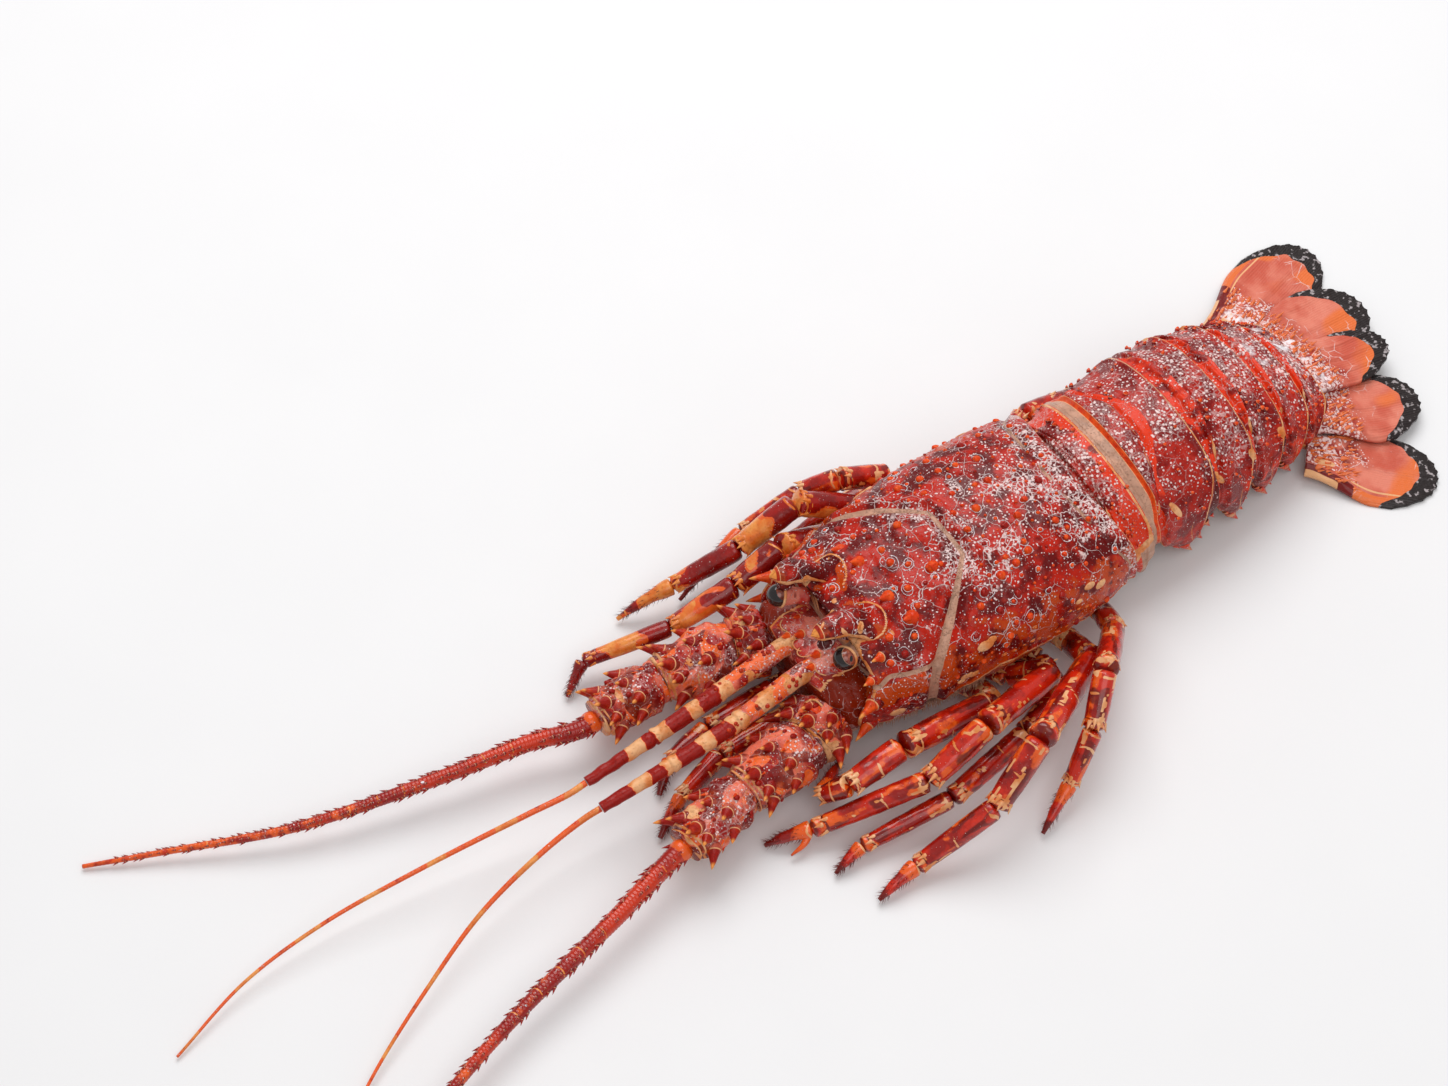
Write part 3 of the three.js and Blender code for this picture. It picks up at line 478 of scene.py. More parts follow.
BELLY = shell_material(
    "belly_shell", (0.55, 0.28, 0.17), (0.72, 0.46, 0.32), (0.70, 0.35, 0.18),
    dots=0.4, lines=0.3,
)
SNOUT = shell_material(
    "snout_shell", (0.48, 0.03, 0.02), (0.72, 0.20, 0.14), (0.20, 0.012, 0.001),
    blotch=140, dots=0.7, lines=0.3,
)

# Shells: an arched section over a lower edge that tucks in


def arch(half, crest, low, waist, tuck, power, angle):
    side = np.abs(angle)
    middle = low + (crest - low) * waist
    s = np.clip(side, 0, QUARTER)
    over = side > QUARTER
    t = np.clip((side - QUARTER) / TUCK_SPAN, 0, 1)
    x = np.where(over, half - tuck * t * t, half * np.sin(s) ** (2 / power))
    roof = middle + (crest - middle) * np.abs(np.cos(s)) ** (2 / power)
    z = np.where(over, middle + (low - middle) * t, roof)
    return np.sign(angle) * x, z


def normals_of(P):
    """Outward directions of a grid of points whose middle faces up."""
    normals = unit(np.cross(np.gradient(P, axis=1), np.gradient(P, axis=0)))
    return normals * np.sign(normals[P.shape[0] // 2, P.shape[1] // 2, 2])


def with_belly(marks, count):
    """Marks of rings that go on with some points of pale skin across the underside."""
    return {m: np.pad(a, ((0, 0), (0, count)), constant_values=0.9 * (m == "skin")) for m, a in marks.items()}


# Carapace: y, half width, height of the crest, height of the lower edge

CARAPACE = np.array(
    [
        [-54, 27, 36, 11],
        [-45, 30.5, 41, 11.5],
        [-34, 33.5, 45.5, 12.5],
        [-16, 36, 49.5, 13.5],
        [2, 37.5, 52, 14],
        [22, 37.5, 52.5, 15],
        [38, 36.5, 51, 17.5],
        [52, 34, 47.5, 21],
    ]
)
# Millimetres round the shell for one radian over the back, and for a quarter turn at the flank
BACK_REACH = 37.0
FLANK_REACH = 52

# Paths on the shell through (y, share of a quarter turn round it)
SEAM = [(-47, 0.60), (-44.2, 0.65), (-40.3, 0.61), (-34.4, 0.66), (-27.9, 0.68), (-24.4, 0.70)]
SOCKET = [
    (-45.5, 0.36), (-42.8, 0.25), (-37.8, 0.29), (-34.2, 0.26), (-32.2, 0.17), (-34.2, 0.08), (-37.0, 0.05),
]
RIDGES = [[(-27, 0.15), (-36, 0.19), (-46, 0.21)], [(-29, -0.21), (-38, -0.25), (-46, -0.28)]]
EDGE = [(52, 1.12), (40, 1.14), (24, 1.10), (7, 1.02), (-5, 1.0), (-12, 1.04), (-24, 1.14), (-46, 1.17)]

# Measured places on the shell: y, share of a quarter turn round it, radius
BIG_KNOBS = [
    (-29.1, 0.11, 2.6), (-26.6, 0.29, 2.4), (-12.1, 0.10, 2.1), (-4.3, -0.2, 2.6), (-35.1, 0.33, 1.6),
    (4.7, 0.35, 1.9), (11.1, 0.33, 1.7), (-2.7, 0.39, 1.7), (-0.8, 0.55, 1.7), (20.3, 0.70, 1.8),
    (7.7, 0.71, 1.7), (-0.3, 0.78, 1.6), (11.4, -0.01, 1.9), (4.5, -0.04, 1.6), (20.8, 0.10, 1.8),
    (16.8, 0.30, 1.7), (-11.8, -0.15, 1.8), (-21.1, -0.20, 1.5), (-13.2, -0.03, 1.4), (-21.3, -0.01, 1.6),
    (-21.9, 0.13, 1.7), (-30.7, -0.26, 2.3), (-27.2, -0.17, 1.9), (-33.4, 0.49, 1.8), (-38.4, 0.50, 1.5),
]
PALE_SPOTS = [
    (-9.0, 0.75, 2.3), (-6.8, 0.73, 1.5), (31.0, 0.76, 1.6), (34.7, 0.81, 1.8), (-39.9, 1.01, 2.0),
    (-33.0, 1.06, 1.6), (-16.6, 0.95, 1.7), (-14.0, 0.97, 1.4), (-18.4, 0.98, 1.1), (26, 0.84, 1.0),
]
PALE_PLACES = [(y, side * a * QUARTER, r) for y, a, r in PALE_SPOTS for side in (1, -1)]
# Spines of the cheek: y, share of a quarter turn, length, radius
CHEEK_SPINES = [(-47.5, 0.80, 6, 2.0), (-49, 1.11, 5.6, 1.9), (-40, 0.42, 3.6, 1.5), (-45.6, 0.56, 3, 1.3)]


def groove_at(angle):
    return -1 - 26.7 * np.sqrt(smooth(0.12, 0.95, np.abs(angle) / QUARTER))


def lower_edge(y):
    return np.interp(y, [k[0] for k in EDGE[::-1]], [k[1] for k in EDGE[::-1]])


def carapace_ends(angle):
    side = np.minimum(1, np.abs(angle) / QUARTER)
    front = mix(-45, -52, smooth(0.55, 1, side))
    rear = 52 - 5 * (1 - smooth(0, 0.9, side))
    return front, rear


def carapace_point(y, angle, sunk=0.0):
    y, angle = np.asarray(y, float), np.asarray(angle, float)
    half = station(CARAPACE, y, 1) - sunk
    crest = station(CARAPACE, y, 2) - sunk
    low = station(CARAPACE, y, 3) + np.minimum(0, sunk)
    x, z = arch(half, crest, low, 0.3, 4.5, 2.4, angle)
    return np.stack([x - 1, y + 0 * x, z], -1)


def on_carapace(y, angle):
    """Points and outward directions at places y along the shell and angles round it."""
    along = carapace_point(y + 0.5, angle) - carapace_point(y - 0.5, angle)
    around = carapace_point(y, angle + 0.02) - carapace_point(y, angle - 0.02)
    return carapace_point(y, angle), unit(np.cross(around, along))


def distance_to(P, *paths):
    """Distance from points to the nearest of some paths drawn on the carapace."""
    near = np.full(P.shape[:-1], 1e9)
    for path in paths:
        keys = np.array([(y, a * QUARTER * BACK_REACH, 0) for y, a in path])
        line = smooth_line(keys, max(40, int(np.abs(np.diff(keys, axis=0)).sum() * 2.5)))
        for q in carapace_point(line[:, 0], line[:, 1] / BACK_REACH):
            near = np.minimum(near, ((P - q) ** 2).sum(-1))
    return np.sqrt(near)


def distance_to_pair(P, path):
    """Distance from points to a path on the carapace or its mirror image."""
    return distance_to(P, path, [(y, -a) for y, a in path])


def within(distance, half):
    return smooth(half + 0.3, half - 0.2, distance)


def carapace_surface():
    rows, cols = 240, 264
    limit = QUARTER + TUCK_SPAN
    angle = np.linspace(-limit, limit, cols)
    front, rear = carapace_ends(angle)
    y = mix(front[None], rear[None], np.linspace(0, 1, rows)[:, None])
    A = np.broadcast_to(angle, y.shape)
    share = np.abs(A) / QUARTER
    base = carapace_point(y, A)
    lift = np.zeros_like(y)
    marks = {m: np.zeros_like(y) for m in MARKS}
    orange, cream, dark, frost, _, skin = marks.values()
    groove = distance_to(base, [(groove_at(a * QUARTER), a) for a in np.linspace(-1.2, 1.2, 97)])
    width = 0.7 + 1.0 * smooth(0.1, 0.6, share)
    lift -= 1.7 * bell(groove, 3.6) - 0.5 * bell(groove - 3.8, 2.2)
    skin += smooth(width + 0.4, width - 0.3, groove)
    # the cheek panel: a pale seam above it, a rim before and below it
    panel = distance_to_pair(base, SEAM)
    lift -= 0.8 * bell(panel, 2.2)
    skin += within(panel, 0.75)
    cheek = smooth(-29, -31, y) * smooth(0.66, 0.7, share)
    orange += 0.75 * cheek * smooth(0.95, 0.8, share) - 0.7 * cheek * smooth(0.84, 0.92, share)
    frost += 0.3 * cheek * smooth(0.84, 0.92, share)
    # the thin rim round the eye socket, from the cheek up behind the horn
    brow = distance_to_pair(base, SOCKET)
    cream += 1.1 * within(brow, 0.2 + 0.5 * smooth(-38, -44, y))
    lift += 0.5 * bell(brow, 1.4)
    # the ridges that run forward into the horns, and the space between them
    lift += 1.6 * bell(distance_to(base, *RIDGES), 6.0) * smooth(-26, -34, y)
    between = smooth(-30, -36, y) * smooth(0.42, 0.3, share)
    orange += 0.7 * between * smooth(0.3, 0.6, wave(base, 9, 11))
    cream += 0.9 * between * smooth(0.75, 0.9, wave(base, 8, 12))
    from_front = y - front[None]
    cream += 0.95 * bell(from_front - 0.5, 0.8) * smooth(0.33, 0.42, share)
    dark += 0.8 * bell(from_front, 1.2) * smooth(0.36, 0.3, share)
    # the collar before the rear edge
    from_rear = rear[None] - y
    collar = from_rear - mix(7.6, 3.2, smooth(0.45, 0.9, share))
    lift -= 1.1 * bell(collar, 2.0)
    lift += 0.5 * bell(from_rear - 3, 3)
    skin += 0.75 * bell(collar, 1.3) * smooth(0.3, 0.9, 0.7 + 0.4 * wave(base, 9, 5))
    cream += 0.9 * bell(from_rear - 0.3, 0.9)
    frost += 0.5 * bell(from_rear - 3, 5)
    frost += 0.45 * smooth(0.75, 0.0, share) * smooth(-75, 25, y) + 0.1 * smooth(1.0, 0.4, share)
    frost += 0.2 * bell(groove, 9) * smooth(0.5, 0.1, share) - 0.05
    orange += 0.16 + 0.42 * smooth(0.42, 0.8, share)
    orange += 0.25 * wave(base, 16, 6) * smooth(0.3, 0.6, share)
    # ridges of low relief round the knobs in front of the groove
    lift += 0.45 * wave(base, 15, 7) * smooth(0, -6, y - groove_at(A))
    # the lower margin: two pale lines with a brown band between them
    rim = distance_to_pair(base, EDGE)
    low = share - lower_edge(y)
    cream += 1.1 * within(rim, 0.3) + 0.9 * bell((low - 0.05) * FLANK_REACH, 0.55)
    lift += 0.5 * bell(rim, 1.4) - 0.5 * bell((low - 0.028) * FLANK_REACH, 1.0)
    orange += 0.5 * smooth(-0.03, 0.05, low)
    fringe = smooth(0.0, 0.03, low) * smooth(-8, -14, y)
    skin += fringe
    frost += 0.6 * fringe - 0.6 * smooth(-0.02, 0.02, low) * smooth(-12, -6, y)
    lift += 0.22 * wave(base, 9, 3) + 0.1 * wave(base, 4, 4)
    lift -= 0.8 * bell(np.minimum(from_front, from_rear), 0.8)
    top = base + normals_of(base) * lift[..., None]
    # a lip inside each end, then the underside
    inner = ((1.8, 0.6), (3.0, 2.5))
    first = [carapace_point(front + s, angle, d)[None] for d, s in inner[::-1]]
    last = [carapace_point(rear - s, angle, d)[None] for d, s in inner]
    P = np.concatenate(first + [top] + last)
    marks = {m: np.pad(a, ((2, 2), (0, 0)), mode="edge") for m, a in marks.items()}
    u = np.linspace(0, 1, 12)[1:-1]
    under = mix(P[:, -1:], P[:, :1], u[None, :, None])
    under[..., 2] = mix(under[..., 2], 12.8, np.sin(math.pi * u) ** 0.4)
    return rings_part(np.concatenate([P, under], 1), **with_belly(marks, len(u)))


def is_clear(y, angle, room):
    """Whether a knob at a place keeps off the ends, the groove, the seam and the lower edge."""
    front, rear = carapace_ends(angle)
    share = abs(angle) / QUARTER
    off_groove = abs(y - groove_at(angle)) * (0.62 if 0.13 < share < 0.7 else 1)
    off_seam = y > -24 or abs(share - 0.65) * FLANK_REACH > room + 1
    inside = front + room + 1 < y < rear - 4 and share < lower_edge(y) - 0.05
    return inside and off_groove > room + 2 and off_seam


def scatter(count, gap):
    """Places (y, angle) at random on the carapace, kept apart by a gap in millimetres."""
    kept, at = [], np.zeros((0, 3))
    for _ in range(count * 9):
        key = rng.uniform(-46, 44), rng.uniform(-1.68, 1.68)
        point = carapace_point(*key)
        if len(at) == 0 or ((at - point) ** 2).sum(1).min() > gap * gap:
            kept.append(key)
            at = np.append(at, point[None], 0)
        if len(kept) >= count:
            break
    return kept


def carapace_knobs():
    """The measured knobs, then large and small ones between them, and rings of frost round them."""
    knobs = []
    for side in (1, -1):
        for y, a, r in BIG_KNOBS:
            angle = side * a * QUARTER
            here = carapace_point(y, angle)
            room = [np.linalg.norm(here - carapace_point(k[0], k[1])) - k[2] for k in knobs]
            if min(room + [99]) > r + 2.2 and is_clear(y, angle, r * 0.5):
                knobs.append((y, angle, r * 0.8))
    taken = np.array(knobs + PALE_PLACES)
    places, reaches = list(carapace_point(taken[:, 0], taken[:, 1])), list(taken[:, 2])
    for count, gap, small, large in ((130, 7.6, 0.9, 1.45), (620, 3.3, 0.35, 0.8)):
        for y, angle in scatter(count, gap):
            share = abs(angle) / QUARTER
            size = rng.uniform(small, large) * (1.0 if share < 0.6 else 0.8)
            if small < 0.8 and rng.random() < 0.55 * (share > 0.55 or y < -5):
                continue
            if is_clear(y, angle, size):
                here = carapace_point(y, angle)
                room = ((np.array(places) - here) ** 2).sum(1)
                if (room > (np.array(reaches) + size + 0.5) ** 2).all():
                    knobs.append((y, angle, size))
                    places.append(here)
                    reaches.append(size)
    y, angle, size = np.array(knobs).T
    feet, away = on_carapace(y, angle)
    size = size * rng.uniform(0.75, 1.0, len(y))
    sunk = 0.35 * wave(feet, 15, 7) * (y < groove_at(angle) - 2)
    feet = feet + away * sunk[:, None] * 0.9
    tone = np.where(rng.random(len(y)) < 0.3, 0.7, 0.0)
    tall = size > 1.45
    low = ~tall
    parts = [
        studs(feet[low], away[low], (0, -0.35, 0), size[low], size[low], DOME, 11, pale=0.45, dark=tone[low]),
        studs(
            feet[tall], away[tall], (0, -0.8, 0.1), size[tall] * 1.7, size[tall] * 0.95, HORNLET, 18, pale=0.4
        ),
    ]
    for chance, near, far in ((0.75, 1.12, 1.3), (0.4, 1.7, 2.3)):
        ringed = (rng.random(len(y)) < chance) & (size > 0.6) & (np.abs(angle) < 1.35)
        reach = size[ringed] * rng.uniform(near, far, ringed.sum())
        parts.append(loops(feet[ringed], away[ringed], reach, 0.12, 5, frost=1.7))
    return parts


def carapace_trim():
    """Flat cream spots, the row of cream dashes, the fringe of bristles and the spines of the cheek."""
    y, angle, radius = np.array(PALE_PLACES).T
    feet, away = on_carapace(y, angle)
    parts = [studs(feet, away, NO_LEAN, 0.4, radius, DISC, 18, top=0.0, cream=1.5, stretch=(0.75, 1.25))]
    dashes = []
    for side in (1, -1):
        for y in np.arange(-3, 34, 3.4):
            edge = lower_edge(y)
            dashes.append((y + rng.uniform(-0.5, 0.5), side * (edge - rng.uniform(0.06, 0.09)) * QUARTER))
            if rng.random() < 0.5:
                dashes.append((y + 1.5, side * (edge - rng.uniform(0.14, 0.22)) * QUARTER))
    feet, away = on_carapace(*np.array(dashes).T)
    radius = rng.uniform(0.4, 0.65, len(dashes))
    parts.append(studs(feet, away, NO_LEAN, 0.3, radius, DISC, 10, cream=1.5, stretch=(0.8, 1.6)))
    # the fringe stands under the front of the lower margin
    n = 420
    y = rng.uniform(-47, -8, n)
    side = np.where(rng.random(n) < 0.6, 1, -1)
    feet, away = on_carapace(y, side * rng.uniform(1.2, 1.3, n) * QUARTER)
    lean = rng.normal(0, 0.25, (n, 3)) + [0, -0.3, -1.1]
    length, radius = rng.uniform(1.2, 2.6, n), rng.uniform(0.14, 0.3, n)
    parts.append(studs(feet, away, lean, length, radius, sides=5, skin=1.0, top=0.0))
    for side in (1, -1):
        for y, share, length, radius in CHEEK_SPINES:
            feet, away = on_carapace(y, side * share * QUARTER)
            parts.append(studs(feet, away, (0, -1.3, 0.1), length, radius, HORNLET, 16))
    return parts


# The inner and the outer outline of each horn, from its root to its tip
HORN = {
    "left": (
        [[3.3, -35.3, 45.2], [2.6, -43.7, 47.2], [3.1, -50.3, 48], [4.7, -55.1, 48.3], [6.4, -57.2, 48.3]],
        [[16.3, -37.3, 43], [14.2, -42.1, 44.4], [11.4, -46.8, 45.7], [9.9, -53.1, 46.9], [6.9, -57.4, 48]],
    ),
    "right": (
        [
            [-16.3, -37.2, 44.5], [-19.2, -42.7, 46], [-21.9, -46.8, 46.5],
            [-21.6, -51.4, 47], [-19.6, -54.9, 47.2],
        ],
        [
            [-9.5, -39, 44.5], [-12.2, -44.5, 45.5], [-13.6, -49.2, 45.9],
            [-15.3, -52.8, 46.2], [-18.6, -55.5, 47],
        ],
    ),
}


def build_horn(name, knob, seed):
    """A flattened blade over the eye: dark red with a pale outline, a golden tip and a knob below it."""
    inner, outer = (smooth_line(edge, 60) for edge in HORN[name])
    t = np.linspace(0, 1, 60)
    middle, half = (inner + outer) / 2, (outer - inner) / 2
    along = unit(np.gradient(middle, axis=0))
    up = unit(np.cross(half, along))
    up = up * np.sign(up[:, 2:])
    width = np.linalg.norm(half, axis=1)
    turn = turns(52, 0.5)
    thick = np.minimum(width * 0.75, 3.4)
    P = middle[:, None] + half[:, None] * np.cos(turn)[None, :, None]
    P = P + up[:, None] * (np.sin(turn)[None] * thick[:, None])[..., None]
    P[..., 2] -= 2.6 * smooth(0.3, 0, t)[:, None]
    P = P + (0.3 * wave(P, 5, seed))[..., None] * unit(P - middle[:, None])
    T = t[:, None] + 0 * turn
    outline = bell((1 - np.abs(np.cos(turn)))[None] * width[:, None], 0.22) * (T < 0.97)
    blots = smooth(0.5, 0.62, wave(P, 7, seed + 2)) * smooth(0.95, 0.7, T) * smooth(0.15, 0.3, T)
    marks = {
        "cream": 1.1 * outline + 1.2 * blots,
        "tip": 0.9 * smooth(0.8, 0.9, T) * (1 - outline),
        "frost": 0.3 - 0.4 * T,
        "dark": 0.5,
        "orange": 0.8 * smooth(0.62, 0.75, T),
    }
    lump = rings_part(ball(knob, 2.5, (0.95, 1.2, 0.85), 20, 28), dark=0.6, frost=0.1)
    return [rings_part(P, **marks), lump]


carapace = [carapace_surface()] + carapace_knobs() + carapace_trim()
horns = build_horn("left", (8.6, -52.6, 43.2), 8) + build_horn("right", (-17.2, -50.5, 42), 18)
piece("carapace_shell", carapace + horns, SHELL, ["carapace"])

# Sternum


def build_sternum():
    n = 24
    rings = []
    for y in np.linspace(-38, 42, 90):
        t = (y + 38) / 80
        half = mix(11, 16, t) * (1 - 0.06 * (1 - abs(math.cos(t * math.pi * 5))))
        k = np.linspace(0, 1, n)
        low = np.stack([mix(-half, half, k), np.full(n, y), 0.05 + 1.2 * np.abs(2 * k - 1) ** 8], -1)
        high = np.stack([mix(half, -half, k), np.full(n, y), np.full(n, 12.3)], -1)
        rings.append(np.concatenate([low, high]))
    return rings_part(np.array(rings), cream=0.3)


piece("sternum_plate", [build_sternum()], BELLY, ["sternum"])

# Snout with the plate between the eyes


def build_snout():
    rows, cols = 64, 180
    angle = turns(cols)
    rings = []
    for y, scale in zip(np.linspace(-44, -58, rows), 1 - 0.2 * smooth(0.6, 1, np.linspace(0, 1, rows)) ** 2):
        x = 26 * scale * np.sign(np.cos(angle)) * np.abs(np.cos(angle)) ** 0.75
        z = 18 + 13 * scale * np.sign(np.sin(angle)) * np.abs(np.sin(angle)) ** 0.75
        rings.append(np.stack([x, np.full(cols, y), z], -1))
    P = np.array(rings)
    centre = P.mean(1, keepdims=True)
    blots = wave(P * [1, 1, 0.6], 9, 32)
    relief = 0.4 * wave(P, 7, 31) + 0.35 * smooth(0.1, 0.4, blots) - 0.25 * bell(blots - 0.1, 0.12)
    P = P + unit(P - centre) * relief[..., None]
    # a smooth brown plate fills each side below the eye, whitish at its lower end
    side = smooth(13, 15.5, np.abs(P[..., 0]))
    cream = 1.1 * bell(blots - 0.1, 0.06) * (1 - side) + 1.0 * bell(np.abs(P[..., 0]) - 14, 0.7)
    dark = 0.75 * smooth(0.2, 0.35, blots) * (1 - side)
    skin = side * smooth(18, 14.5, P[..., 2] + 1.5 * wave(P, 8, 33))
    frost = 0.4 * (1 - side) - 0.6 * side
    parts = [rings_part(P, cream=cream, dark=dark, orange=1.3 * side, skin=skin, frost=frost)]
    # small horns and smooth cushions, each with its mirror image: x, y, z, radius
    spots = ((4.5, -53, 30.6, 2.6), (6.8, -56.5, 29.6, 2.2), (10.5, -50, 30.4, 1.7))
    spots += ((2, -49, 30.8, 1.4), (12, -55.5, 28.6, 1.5))
    spots = np.array([(side * x, y, z, r) for side in (1, -1) for x, y, z, r in spots])
    feet, size = spots[:, :3], spots[:, 3]
    parts.append(studs(feet, UP, (0, -0.9, 0), size * 1.1, size * 0.6, HORNLET, 14, top=0.8, dark=0.3))
    cushions = ((3.6, -50.5, 4.0), (8.6, -52.6, 3.4), (1.2, -54.6, 2.4), (6.6, -47.6, 3.0))
    cushions = np.array([(side * x, y, 30.6 - 0.05 * x, r) for side in (1, -1) for x, y, r in cushions])
    feet, size = cushions[:, :3], cushions[:, 3]
    marks = {"dark": 0.25, "orange": 0.3, "frost": 0.55}
    parts.append(studs(feet, UP, (0, -0.15, 0), size * 0.26, size, DOME, 26, top=0.0, **marks))
    parts.append(loops(feet + [0, 0, 0.1], UP, size * 1.06, 0.22, 9, 30, cream=0.9))
    return parts


piece("snout_shell", build_snout(), SNOUT, ["snout"])

# Eyes: a black ball with a red-brown cap and a dark spot, on a pale stalk with a raised rim

# Directions across, up and toward the camera
VIEW_RIGHT = np.array([0.548, 0.837, 0.0])
VIEW_UP = np.array([-0.694, 0.454, 0.559])
VIEW_BACK = np.array([0.468, -0.306, 0.829])
CAP_WAY = unit(2 * VIEW_RIGHT + 1.1 * VIEW_UP + 2.2 * VIEW_BACK)
EYE_RADIUS = 3.7
EYES = {"left": (14.2, -49.4, 38.6), "right": (-16.9, -53.3, 37.8)}


def eye_material():
    p = Paint("eye_ball")
    colour = p.mix(p.noise(700, 3), (0.006, 0.005, 0.006), (0.022, 0.014, 0.014))
    brown = p.stirred("orange", 500, 3, 0.35)
    cap = p.mix(p.step(p.noise(900, 4), 0.35, 0.65), (0.16, 0.02, 0.012), (0.36, 0.09, 0.05))
    colour = p.mix(p.step(brown, 0.4, 0.7), colour, cap)
    colour = p.mix(p.step(p.mark("cream"), 0.4, 0.6), colour, (0.62, 0.32, 0.20))
    colour = p.mix(p.step(p.mark("dark"), 0.4, 0.6), colour, (0.012, 0.003, 0.003))
    rough = p.add(p.times(p.noise(900, 2), 0.12), 0.05)
    return p.finish(colour, rough, p.cells(2600), bump=0.00008, strength=0.25, coat=0.9)


EYE = eye_material()
# The gap between two parts that meet, in millimetres
GAP = 0.35

for name, side in (("left", 1), ("right", -1)):
    centre = np.array(EYES[name])
    P = ball(centre, EYE_RADIUS, rows=64, cols=90)
    away = unit(P - centre)
    right, up, back = (away @ d for d in (VIEW_RIGHT, VIEW_UP, VIEW_BACK))
    cap = smooth(0.60, 0.68, away @ CAP_WAY)
    edge = bell(away @ CAP_WAY - 0.62, 0.035)
    spot = 1.6 - np.hypot((right - 0.55) / 0.12, up / 0.24) * (1 + 9 * (back < 0))
    marks = {"orange": cap, "dark": clamp01(spot), "cream": 0.9 * edge} if side > 0 else {"orange": 0.6 * cap}
    piece(f"eye_ball_{name}", [rings_part(P, **marks)], EYE, [f"eye_{name}"])
    stalk = np.array([side * 3.6, -8.6, 3.0])
    way = unit(stalk)
    line = smooth_line([centre - stalk, centre - stalk * 0.55, centre - way * 1.2], 40)
    t = np.linspace(0, 1, 40)
    P = tube_points(line, 3.0 + 0.3 * smooth(0.6, 0.95, t) - 0.3 * bell(t - 0.4, 0.3), 60)
    P = P + unit(P - line[:, None]) * (0.2 * wave(P, 4, 41))[..., None]
    dots = smooth(0.45, 0.7, wave(P, 5, 42))
    skin = np.clip(1.0 - 1.2 * dots, 0, 1) if side > 0 else 0.35 + 0 * dots
    parts = [rings_part(P, skin=skin, dark=0.5 * dots, frost=0.45)]
    # the pale rim that holds the ball
    turn, small = turns(60), turns(10)
    across = unit(np.cross(way, UP))
    other = np.cross(across, way)
    ring = centre - way * 1.1 + 3.55 * (across * np.cos(turn)[:, None] + other * np.sin(turn)[:, None])
    out = unit(ring - centre + way * 1.1)
    rim = ring[:, None] + 0.5 * (out[:, None] * np.cos(small)[:, None] + way * np.sin(small)[:, None])
    parts.append(part(rim, grid_faces(60, 10, True, True), cream=0.9))
    piece(f"eyestalk_{name}_shell", parts, SNOUT, [f"eyestalk_{name}"])

# Antenna stems

ANTENNA = {
    "left": {
        "joints": [[16, -56, 15], [21, -68, 14.5], [25, -94, 14], [31, -119, 13.5]],
        "whip": [[39.5, -150, 12], [49, -188, 10.4], [58, -216, 8.6], [75, -258, 5.2], [95, -300, 1.4]],
    },
    "right": {
        "joints": [[-16, -56, 15], [-20.5, -68, 14.5], [-23.5, -94, 14], [-22.4, -118, 13.5]],
        "whip": [
            [-27, -139, 12.4], [-32.4, -169, 11], [-43.6, -215, 7.5], [-60, -252, 3.8], [-71, -276, 1.4],
        ],
    },
}
STEM_RADII = [9.5, 10.8, 8.6, 7.4]


def facing(points, k):
    """The direction of a chain of points at one of them."""
    into = unit(points[k] - points[max(0, k - 1)])
    out = unit(points[min(len(points) - 1, k + 1)] - points[k])
    return unit(into + out)


